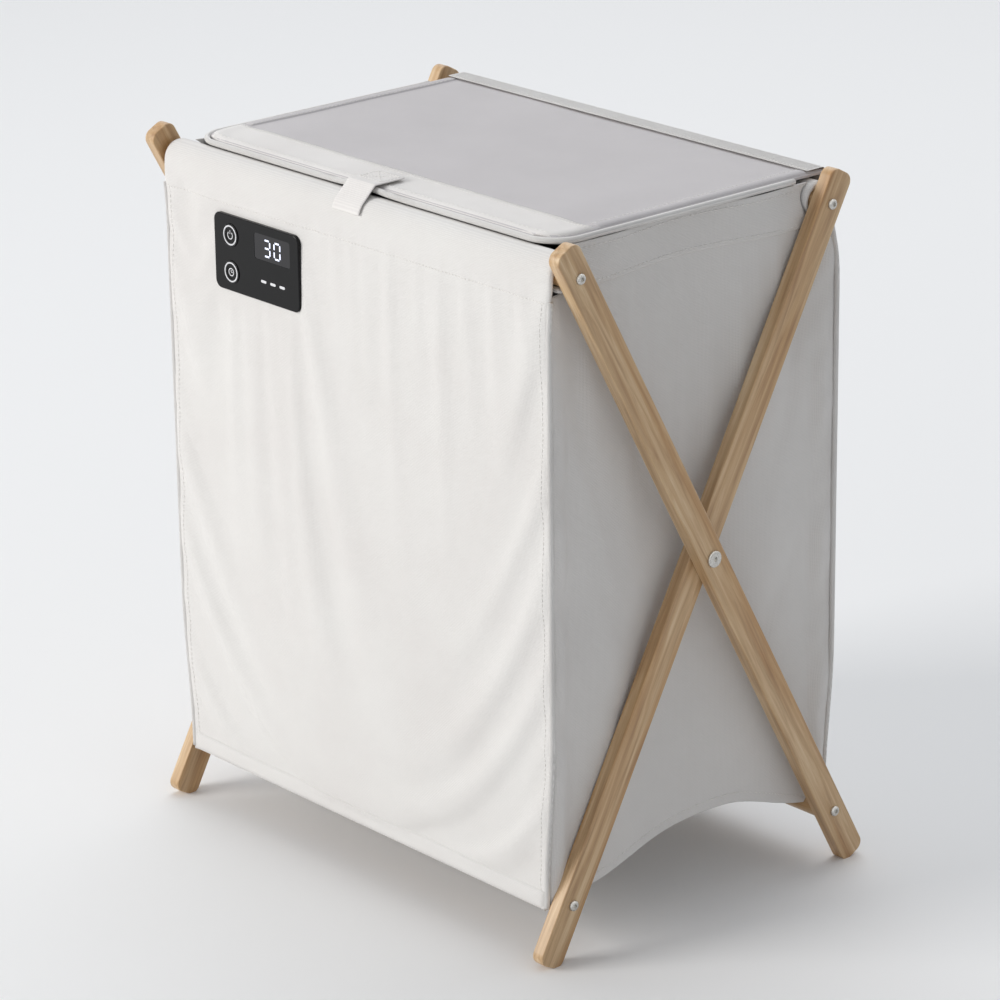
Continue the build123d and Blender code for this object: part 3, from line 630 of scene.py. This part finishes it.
makeLining("front_lining_quilt", "front_lining", -1, "front_wall")
makeLining("rear_lining_quilt", "rear_lining", 1, "rear_wall")
print("linings ready")


# gussets and bottom

# a span is a pair of distances from the middle plane between which something comes in or fades out
gussetLook = {
    "columns": 46, "rows": 76, "thickness": 2.6 * mm, "reach": 0.1552, "seam": 0.5549, "top": 0.5873,
    "arch": (0.0475, 0.0745), "archEnd": 0.156, "archPeak": 0.045, "archLean": 0.75,
    # distances from the bin's middle: at the crease, beside it, at the walls' edges, and beside the legs
    "crease": 0.2145, "side": 0.228, "edge": 0.236, "legSide": 230.3 * mm, "legSpan": 0.14,
    "creaseSpan": (0.0, 0.118), "flareSpan": (0.122, 0.1565), "flareOver": 0.2285,
    "slack": 1.8 * mm, "slackSpan": (0.156, 0.10), "foldsAcross": 16, "foldsUp": 5, "seed": 3.1,
    "tuck": 6.0 * mm, "tuckRise": (0.562, 0.584), "tuckSpan": (0.06, 0.115),
    "held": 0.02, "stitchEnd": 0.14, "stitchRise": 7 * mm, "stitchSteps": 28,
    "hang": {"bending": 0.8, "shrink": -0.018, "pressure": 0.0, "gravity": 1.0, "frames": 24,
             "cap": 5.0 * mm},
}
bandLook = {"columns": 50, "rows": 20, "overlap": 3.0 * mm, "out": 0.9 * mm, "pastLeg": 0.5 * mm,
            "thickness": 2.0 * mm, "rollGap": 0.6 * mm, "stitchEnd": 0.119,
            "stitchRows": (gussetLook["seam"] + 0.6 * mm, gussetLook["top"] - 5.0 * mm)}
gussetStitch = dict(stitch, lift=0.2 * mm)


# the gusset's lower edge: low beside both rails, highest behind the middle
def archEdge(y):
    end, peak = gussetLook["archEnd"], gussetLook["archPeak"]
    if y < peak:
        rise = smoothstep(-end, peak, y) ** gussetLook["archLean"]
    else:
        rise = smoothstep(end, peak, y)
    return lerp(*gussetLook["arch"], rise)


# the gusset's distance from the middle plane: creased in at the middle, flared out to the walls' edges,
# with a few slack folds, and drawn in at the top under the lid's piping
def gussetHalf(y, z):
    look, far = gussetLook, abs(y)
    inner = lerp(look["crease"], look["side"], smoothstep(*look["creaseSpan"], far))
    edge = min(wallHalf(rearWall if y > 0 else frontWall, z), look["edge"])
    flare = smoothstep(*look["flareSpan"], far) if edge > look["flareOver"] else 0.0
    folds = noise.noise(Vector((y * look["foldsAcross"], z * look["foldsUp"], look["seed"])))
    slack = folds * look["slack"] * smoothstep(*look["slackSpan"], far)
    tuck = look["tuck"] * smoothstep(*look["tuckRise"], z) * smoothstep(*look["tuckSpan"], far)
    return lerp(inner, edge, flare) + slack - tuck


def gussetPlace(end, inset):
    def place(u, v):
        y = lerp(-gussetLook["reach"], gussetLook["reach"], u)
        z = lerp(archEdge(y), gussetLook["seam"], v)
        return Vector((end * (gussetHalf(y, z) - inset), y, z))
    return place


# a gusset's band ends in a hollow round each rolled top
def bandPlace(end, lift):
    def place(u, v):
        z = lerp(gussetLook["seam"] - bandLook["overlap"], gussetLook["top"], v)
        hollow = max((rail["roll"] + bandLook["rollGap"]) ** 2 - (z - rail["top"]) ** 2, 0.0) ** 0.5
        y = lerp(hollow - rail["y"], rail["y"] - hollow, u)
        far = min(gussetHalf(y, z) + bandLook["out"], gussetLook["legSide"] + bandLook["pastLeg"]) - lift
        return Vector((end * far, y, z))
    return place


# one folding side: its sheet, the doubled band along its top, and their stitches
def makeGusset(side, end):
    name, look, thickness = f"{side}_gusset_fabric", gussetLook, gussetLook["thickness"]
    outside, inside = gussetPlace(end, 0.0), gussetPlace(end, thickness)
    moves = relaxed(look, outside, lambda u, v: min(u, 1 - u, 1 - v) < look["held"])
    bm = makeShell(look, outside, inside, moves, 1.0)
    outerCount = len(bm.verts) / 2
    for i, vert in enumerate(bm.verts):
        if abs(vert.co.y) < look["legSpan"]:
            limit = look["legSide"] - (thickness if i >= outerCount else 0.0)
            vert.co.x = end * min(abs(vert.co.x), limit)
    sheet = finishPiece(name, bm, gussetFabric, "rear_wall", levels=1)
    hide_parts(f"{side}_gusset")
    bm = makeShell(bandLook, bandPlace(end, 0.0), bandPlace(end, bandLook["thickness"]))
    band = finishPiece(f"{name}_band", bm, gussetFabric, "rear_wall", levels=1)
    out = Vector((end, 0, 0))
    onBand, onSheet = (castOnto(part, 0, end * look["side"]) for part in (band, sheet))
    reach = bandLook["stitchEnd"]
    seams = [(straightRow((0, -reach, z), (0, reach, z), columnSteps), onBand, out, gussetStitch)
             for z in bandLook["stitchRows"]]
    bandStitches = makeStitches(f"{name}_band_stitches", "rear_wall", seams)
    row = straightRow((0, -look["stitchEnd"], 0), (0, look["stitchEnd"], 0), look["stitchSteps"])
    for point in row:
        point.z = archEdge(point.y) + look["stitchRise"]
    sheetStitches = makeStitches(f"{name}_stitches", "rear_wall", [(row, onSheet, out, gussetStitch)])
    for soft in (sheet, sheetStitches):
        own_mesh(soft)
    for soft in (band, bandStitches):
        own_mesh(soft)
    return onSheet


onLeft = makeGusset("left", -1)
onRight = makeGusset("right", 1)

# the bottom reaches from the inner face of one gusset to the other's, and lies no lower than their arches
bottomLook = {"columns": 60, "rows": 40, "reach": 0.149, "low": 0.0592, "high": 0.0745,
              "underArch": 0.6 * mm, "overArch": 2.0 * mm, "inset": 1.6 * mm, "thickness": 2.8 * mm,
              "dip": 1.2 * mm, "waves": 9, "seed": 4.7}


def bottomPlace(lift):
    def place(u, v):
        look = bottomLook
        y = lerp(-look["reach"], look["reach"], v)
        rise = smoothstep(look["reach"], 0.0, abs(y))
        z = max(lerp(look["low"], look["high"], rise), archEdge(y) - look["underArch"]) + lift
        level = max(z, archEdge(y) + look["overArch"])
        left, right = (onSide(Vector((0, y, level))).x for onSide in (onLeft, onRight))
        x = lerp(left + look["inset"], right - look["inset"], u)
        dip = noise.noise(Vector((x * look["waves"], y * look["waves"], look["seed"]))) * look["dip"] * rise
        return Vector((x, y, z + dip))
    return place


bm = makeShell(bottomLook, bottomPlace(0.0), bottomPlace(bottomLook["thickness"]))
bottom = finishPiece("bottom_fabric", bm, bottomFabric, "rear_wall", levels=1)
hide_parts("bottom_panel")
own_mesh(bottom)
print("gussets and bottom ready")


# lid

lidLow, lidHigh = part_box("lid_cover")
lid = {"columns": 88, "rows": 58, "held": 0.03, "half": lidHigh.x, "front": lidLow.y, "rear": lidHigh.y,
       "corner": 26 * mm, "top": lidHigh.z - 0.2 * mm, "bottom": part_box("lid_lining")[0].z + 0.1 * mm,
       "crown": 1.6 * mm, "crownSpan": (0.0, 0.06), "pucker": 0.5 * mm, "puckers": 14, "seed": 1.3,
       "rim": 5 * mm, "rimDrop": 1.4 * mm, "rimRise": 1.2 * mm,
       "hang": {"bending": 1.0, "shrink": -0.008, "pressure": 0.0, "gravity": 0.6, "frames": 16,
                "cap": 1.4 * mm}}
# the trim lies on the lid: distances back from its front edge, or out from its middle
lidTrim = {"band": 45 * mm, "bandFront": 1.0 * mm, "bandInset": 2.0 * mm, "bandThick": 1.0 * mm,
           "rows": ((42 * mm, 0.215), (38 * mm, 0.215), (8 * mm, 0.205)),
           "hem": (0.2065, 0.2185), "hemGap": 2 * mm, "hemRear": 0.140, "hemThick": 0.7 * mm,
           "column": 0.2085, "columnGap": 3 * mm, "columnRear": 0.139}
up = Vector((0, 0, 1))


def lidHalf(y):
    return roundedHalf(lid["half"], lid["corner"], y - lid["front"])


def lidPlace(isTop):
    def place(u, v):
        y = lerp(lid["front"], lid["rear"], v)
        x = lerp(-lidHalf(y), lidHalf(y), u)
        inward = min(lidHalf(y) - abs(x), y - lid["front"])
        rim = 1 - smoothstep(0.0, lid["rim"], inward)
        if not isTop:
            return Vector((x, y, lid["bottom"] + lid["rimRise"] * rim))
        pucker = noise.noise(Vector((x * lid["puckers"], y * lid["puckers"], lid["seed"]))) * lid["pucker"]
        crown = lid["crown"] * smoothstep(*lid["crownSpan"], min(inward, lid["rear"] - y))
        return Vector((x, y, lid["top"] - lid["rimDrop"] * rim + crown + pucker * (1 - rim)))
    return place


lidMoves = relaxed(lid, lidPlace(True), lambda u, v: min(u, 1 - u, v, 1 - v) < lid["held"])
bm = makeShell(lid, lidPlace(True), lidPlace(False), lidMoves)
lidPiece = finishPiece("lid_fabric", bm, shadedLidFabric, "lid", levels=1)
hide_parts("lid_cover", "lid_lining")
dropOnLid = castOnto(lidPiece, 2, lid["top"])


def lidBand(u, v):
    y = lid["front"] + lerp(lidTrim["bandFront"], lidTrim["band"], v)
    half = lidHalf(y) - lidTrim["bandInset"]
    return Vector((lerp(-half, half, u), y, 0))


strip = layStrip(80, 8, lidBand, dropOnLid, up * lidTrim["bandThick"])
band = finishPiece("lid_front_band", strip, bandFabric, "lid")
dropOnBand = castOnto(band, 2, lid["top"])
lidSeams = []
for back, end in lidTrim["rows"]:
    y = lid["front"] + back
    lidSeams.append((straightRow((-end, y, 0), (end, y, 0), rowSteps), dropOnBand, up))


# the narrow hem down one side of the lid, and its seam
def addSideHem(end, word):
    bandEnd = lid["front"] + lidTrim["band"]

    def spot(u, v):
        y = lerp(bandEnd + lidTrim["hemGap"], lidTrim["hemRear"], v)
        return Vector((end * lerp(*lidTrim["hem"], u), y, 0))
    strip = layStrip(4, 44, spot, dropOnLid, up * lidTrim["hemThick"])
    hem = finishPiece(f"lid_side_hem_{word}", strip, shadedLidFabric, "lid")
    x = end * lidTrim["column"]
    column = straightRow((x, bandEnd + lidTrim["columnGap"], 0), (x, lidTrim["columnRear"], 0), columnSteps)
    return column, castOnto(hem, 2, lid["top"]), up


lidSeams += [addSideHem(-1, "left"), addSideHem(1, "right")]
makeStitches("lid_stitches", "lid", lidSeams)

# the piping goes round the lid's sides and front a hair outside it, and dips up a little under the tab
piping = {"out": 2.36 * mm, "radius": 2.5 * mm, "z": 590.1 * mm, "rear": 0.120,
          "knots": (0.19, 0.15, 0.10, 0.035), "underTab": 0.012, "rise": 1.6 * mm}
bend = lid["corner"] + piping["out"]
pipingX, pipingY, pipingZ = lid["half"] + piping["out"], lid["front"] - piping["out"], piping["z"]
rightHalf = [(pipingX, lerp(piping["rear"], pipingY + bend, i / 5), pipingZ) for i in range(6)]
rightHalf += [(pipingX - bend * (1 - cos(radians(a))), pipingY + bend * (1 - sin(radians(a))), pipingZ)
              for a in range(9, 90, 9)]
rightHalf += [(x, pipingY, pipingZ) for x in piping["knots"]]
rightHalf += [(piping["underTab"], pipingY, pipingZ + piping["rise"])]
knots = rightHalf + [(-x, y, z) for x, y, z in reversed(rightHalf)]
bead = makeBead("lid_piping_bead", knots, piping["radius"], tapeFabric, "lid")
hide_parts("lid_piping")


# a strap lying across x whose middle follows a line of (y, z) points, moved off it by lift
def strapPlace(line, half, lift):
    def place(u, v):
        t = v * (len(line) - 1)
        i = min(int(t), len(line) - 2)
        (y0, z0), (y1, z1) = line[i], line[i + 1]
        length = hypot(y1 - y0, z1 - z0)
        y = lerp(y0, y1, t - i) - lift * (z1 - z0) / length
        z = lerp(z0, z1, t - i) + lift * (y1 - y0) / length
        return Vector((lerp(-half, half, u), y, z))
    return place


def lineLength(line):
    return sum(hypot(y1 - y0, z1 - z0) for (y0, z0), (y1, z1) in zip(line, line[1:]))


# points round a part of a circle, from one angle to another, in degrees
def arcPoints(y, z, radius, first, last, count):
    angles = [radians(lerp(first, last, i / count)) for i in range(count + 1)]
    return [(y + radius * cos(a), z + radius * sin(a)) for a in angles]


hinge = {"columns": 60, "rows": 46, "out": 0.1588, "low": 0.5458, "bend": 3.0 * mm, "top": 594.5 * mm,
         "onLid": 17 * mm, "thick": 0.8 * mm, "half": 0.2195, "rowHalf": 0.217, "rowInset": 2.5 * mm,
         "rowRise": 3.0 * mm}
bendY, bendZ = hinge["out"] - hinge["bend"], hinge["top"] - hinge["bend"]
tapeLine = ([(hinge["out"], lerp(hinge["low"], bendZ, i / 12)) for i in range(12)]
            + arcPoints(bendY, bendZ, hinge["bend"], 0, 90, 6)
            + [(bendY - hinge["onLid"] * i / 5, hinge["top"]) for i in range(1, 6)])
tapeFaces = [strapPlace(tapeLine, hinge["half"], side * hinge["thick"] / 2) for side in (-1, 1)]
tape = finishPiece("lid_hinge_tape", makeShell(hinge, *tapeFaces), tapeFabric, None, levels=1)
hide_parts("lid_hinge_strip")
lineLength(tapeLine)
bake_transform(tape)


# a row of stitches through the tape, dropped onto it along an axis
def sewTape(body, name, y, z, axis, rest):
    out = Vector((0, 0, 0))
    out[axis] = 1.0
    row = straightRow((-hinge["rowHalf"], y, z), (hinge["rowHalf"], y, z), rowSteps)
    makeStitches(name, body, [(row, castOnto(tape, axis, rest), out)])


sewTape("lid", "hinge_tape_lid_stitches", bendY - hinge["onLid"] + hinge["rowInset"], 0, 2, hinge["top"])
sewTape("rear_wall", "hinge_tape_wall_stitches", 0, hinge["low"] + hinge["rowRise"], 1, hinge["out"])
print("lid ready")


# pull tab

# the tab reaches back over the lid by its sewn end, turns down at its edge, and follows the front roll from
# one angle to another. Its stitches are a square with a cross
pullTab = {"columns": 10, "rows": 40, "half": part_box("pull_tab")[1].x - 0.2 * mm, "thick": 1.4 * mm,
           "top": 596.4 * mm, "sewn": 26 * mm, "edge": 4.8 * mm, "bend": 1.5 * mm, "overRoll": 1.4 * mm,
           "onRoll": (129, 168), "squareHalf": 13.5 * mm, "squareBack": 23 * mm, "squareFront": 3 * mm}
tabEdge = lid["front"] - pullTab["edge"]
tabLine = ([(lerp(lid["front"] + pullTab["sewn"], tabEdge, i / 10), pullTab["top"]) for i in range(10)]
           + arcPoints(tabEdge, pullTab["top"] - pullTab["bend"], pullTab["bend"], 90, 125, 3)
           + arcPoints(-rail["y"], rail["top"], rail["roll"] + pullTab["overRoll"], *pullTab["onRoll"], 14))
tabFaces = [strapPlace(tabLine, pullTab["half"], side * pullTab["thick"] / 2) for side in (-1, 1)]
tab = finishPiece("pull_tab_strap", makeShell(pullTab, *tabFaces), bandFabric, "lid", levels=1)
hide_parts("pull_tab")
lineLength(tabLine)
dropOnTab = castOnto(tab, 2, lid["top"])
corners = [Vector((side * pullTab["squareHalf"], lid["front"] + back, 0))
           for back in (pullTab["squareBack"], pullTab["squareFront"]) for side in (-1, 1)]
tabSeams = [([corners[a], corners[b]], dropOnTab, up, dict(stitch, pitch=3.2 * mm))
            for a, b in ((0, 1), (1, 3), (3, 2), (2, 0), (0, 3), (1, 2))]
makeStitches("pull_tab_stitches", "lid", tabSeams)
print("pull tab ready")


# supply lead inside the bin

# along the rear wall, the left gusset and the front wall, then up to the control module
lead = {"radius": 2.2 * mm, "rear": 0.143, "front": -0.147, "side": -0.2076, "z": 0.118, "riser": -0.1375}
rearKnots = [(x, lead["rear"], lead["z"]) for x in (-0.164, -0.185, lead["side"])]
sideKnots = [(lead["side"], y, lead["z"]) for y in (0.115, -0.115)]
frontKnots = [(x, lead["front"], lead["z"]) for x in (lead["side"], -0.185, -0.155, lead["riser"])]
riserKnots = [(lead["riser"], lead["front"], z) for z in (0.150, 0.330, 0.4805)]
leadPiece = makeBead("supply_lead_sleeve", rearKnots + sideKnots + frontKnots + riserKnots, lead["radius"],
                     cable, "rear_wall")
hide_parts("supply_lead")
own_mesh(leadPiece)


# marks on the control panel

marks = {"thick": 0.06 * mm, "proud": 0.02 * mm}


# a flat printed ring or part of one, standing a hair proud of the face
def arcMark(bm, centre, radius, width, start, sweepAngle, front):
    spoke = [bm.verts.new((centre[0] + r * sin(start), front, centre[1] + r * cos(start)))
             for r in (radius - width / 2, radius + width / 2)]
    edge = bm.edges.new(spoke)
    bmesh.ops.spin(bm, geom=[edge, *spoke], cent=(centre[0], front, centre[1]), axis=(0, 1, 0),
                   angle=sweepAngle, steps=36)


# a flat printed bar
def barMark(bm, centre, width, height, front):
    place = (Matrix.Translation((centre[0], front, centre[1])) @ Matrix.Diagonal((width, 1, height, 1))
             @ Matrix.Rotation(pi / 2, 4, "X"))
    bmesh.ops.create_grid(bm, x_segments=1, y_segments=1, size=0.5, matrix=place)


# gives the marks a hair of thickness
def finishMarks(name, bm, body, material=printedWhite):
    bmesh.ops.remove_doubles(bm, verts=bm.verts, dist=1e-6)
    raised = bmesh.ops.extrude_face_region(bm, geom=bm.faces[:])["geom"]
    raisedVerts = [part for part in raised if isinstance(part, bmesh.types.BMVert)]
    bmesh.ops.translate(bm, verts=raisedVerts, vec=(0, -marks["thick"], 0))
    return finishPiece(name, bm, material, body)


# the middle of a node in x and z, and the y of its front
def faceOf(name):
    low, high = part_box(name)
    return (low.x + high.x) / 2, (low.z + high.z) / 2, low.y


keyLine = 0.85 * mm
keyMarks = {
    "ring": 7.9 * mm, "ringLine": 1.3 * mm, "sign": 3.1 * mm, "sunk": 0.30 * mm,
    # each sign's start and turn, and its bars as right, up, width, height from the key's middle
    "power": (radians(38), radians(284), [(0.0, 2.7 * mm, keyLine, 3.4 * mm)]),
    "timer": (0.0, 2 * pi, [(0.0, 0.95 * mm, keyLine, 1.9 * mm), (0.9 * mm, 0.0, 1.8 * mm, keyLine)]),
}


# the ring printed round a key, and the sign in its recess
def markKey(key):
    x, z, front = faceOf(f"{key}_button")
    recess = front + keyMarks["sunk"]
    start, sweepAngle, signBars = keyMarks[key]
    bm = bmesh.new()
    arcMark(bm, (x, z), keyMarks["ring"], keyMarks["ringLine"], 0.0, 2 * pi, front - marks["proud"])
    arcMark(bm, (x, z), keyMarks["sign"], keyLine, start, sweepAngle, recess)
    for right, above, width, height in signBars:
        barMark(bm, (x + right, z + above), width, height, recess)
    finishMarks(f"{key}_mark", bm, f"{key}_button")


markKey("power")
markKey("timer")

# which bars of a seven-bar digit are lit for 3 and 0, each bar as (right, up) of the digit's middle
bars = {"top": (0, 1), "upperRight": (1, 0.5), "lowerRight": (1, -0.5), "bottom": (0, -1),
        "lowerLeft": (-1, -0.5), "upperLeft": (-1, 0.5), "middle": (0, 0)}
shown = [("top", "upperRight", "middle", "lowerRight", "bottom"),
         ("top", "upperRight", "lowerRight", "bottom", "lowerLeft", "upperLeft")]
digit = {"pitch": 13.0 * mm, "width": 7.4 * mm, "height": 13.4 * mm, "line": 1.5 * mm, "gapAcross": 2.0 * mm,
         "gapUp": 1.9 * mm}
windowX, windowZ, windowFront = faceOf("display_window")
bm = bmesh.new()
for place, names in zip((-digit["pitch"] / 2, digit["pitch"] / 2), shown):
    for name in names:
        right, above = bars[name]
        size = (digit["width"] - digit["gapAcross"], digit["line"])
        if right:
            size = (digit["line"], digit["height"] / 2 - digit["gapUp"])
        spot = (windowX + place + right * digit["width"] / 2, windowZ + above * digit["height"] / 2)
        barMark(bm, spot, *size, windowFront - marks["proud"])
finishMarks("display_digits", bm, "front_wall", glow)
print("control panel ready")


# floor, light and camera

floorLook = {"size": 14.0, "colour": "#F2F2F2", "roughness": 0.75}
worldLook = {"light": "#EEF1F5", "strength": 0.48, "background": "#FFFFFF"}
lamps = {
    "key": {"at": (-2.6, -5, 2.5), "aim": (0, 0, 0.32), "size": (2.8, 2.4), "watts": 215, "tint": "#FFFDFA"},
    "top": {"at": (-1.4, 2.2, 4.6), "aim": (0, 0.6, 0), "size": (4.5, 4.5), "watts": 105, "tint": "#FAFCFF"},
}
view = {"at": (2.50, -2.20, 1.49), "aim": (0.0, 0.0, 0.293), "roll": -0.76, "lens": 152.0}

# painted board: even and dull, so that it only takes the shadow
paleFloor = newMaterial("pale_floor", {"Base Color": linear(floorLook["colour"]),
                                       "Roughness": floorLook["roughness"]})[0]
bm = bmesh.new()
bmesh.ops.create_grid(bm, x_segments=1, y_segments=1, size=floorLook["size"] / 2)
floor = addObject("floor", meshFrom("floor", bm))
floor.data.materials.append(paleFloor)

# the world lights the piece softly, while the camera, metal and glass see the plain background
world = bpy.data.worlds.new("studio")
bpy.context.scene.world = world
world.use_nodes = True
sky = world.node_tree
rays = addNode(sky, "ShaderNodeLightPath").outputs
shiny = addNode(sky, "ShaderNodeMath", {"operation": "MAXIMUM"},
                {0: rays["Is Glossy Ray"], 1: rays["Is Transmission Ray"]})
seen = addNode(sky, "ShaderNodeMath", {"operation": "MAXIMUM"},
               {0: rays["Is Camera Ray"], 1: shiny.outputs[0]})
soft = sky.nodes["Background"]
soft.inputs["Color"].default_value = linear(worldLook["light"])
soft.inputs["Strength"].default_value = worldLook["strength"]
white = addNode(sky, "ShaderNodeBackground", {"Color": linear(worldLook["background"]), "Strength": 1.0})
choice = addNode(sky, "ShaderNodeMixShader",
                 links={0: seen.outputs[0], 1: soft.outputs[0], 2: white.outputs[0]})
sky.links.new(choice.outputs[0], sky.nodes["World Output"].inputs["Surface"])


# the turn that points an object's -Z from one place to another
def aimedFrom(place, aim):
    return (Vector(aim) - Vector(place)).to_track_quat("-Z", "Y")


for name, look in lamps.items():
    light = bpy.data.lights.new(name, "AREA")
    light.shape = "RECTANGLE"
    light.size, light.size_y = look["size"]
    light.energy = look["watts"]
    light.color = linear(look["tint"])[:3]
    lamp = addObject(name, light)
    lamp.location = look["at"]
    lamp.rotation_euler = aimedFrom(look["at"], look["aim"]).to_euler()

camera = addObject("camera", bpy.data.cameras.new("camera"))
camera.data.lens = view["lens"]
camera.data.sensor_width = 36.0
camera.location = view["at"]
level = aimedFrom(view["at"], view["aim"]).to_matrix().to_4x4()
camera.rotation_euler = (level @ Matrix.Rotation(radians(view["roll"]), 4, "Z")).to_euler()
bpy.context.scene.camera = camera
bpy.context.scene.view_settings.view_transform = "Standard"
print("stage ready")
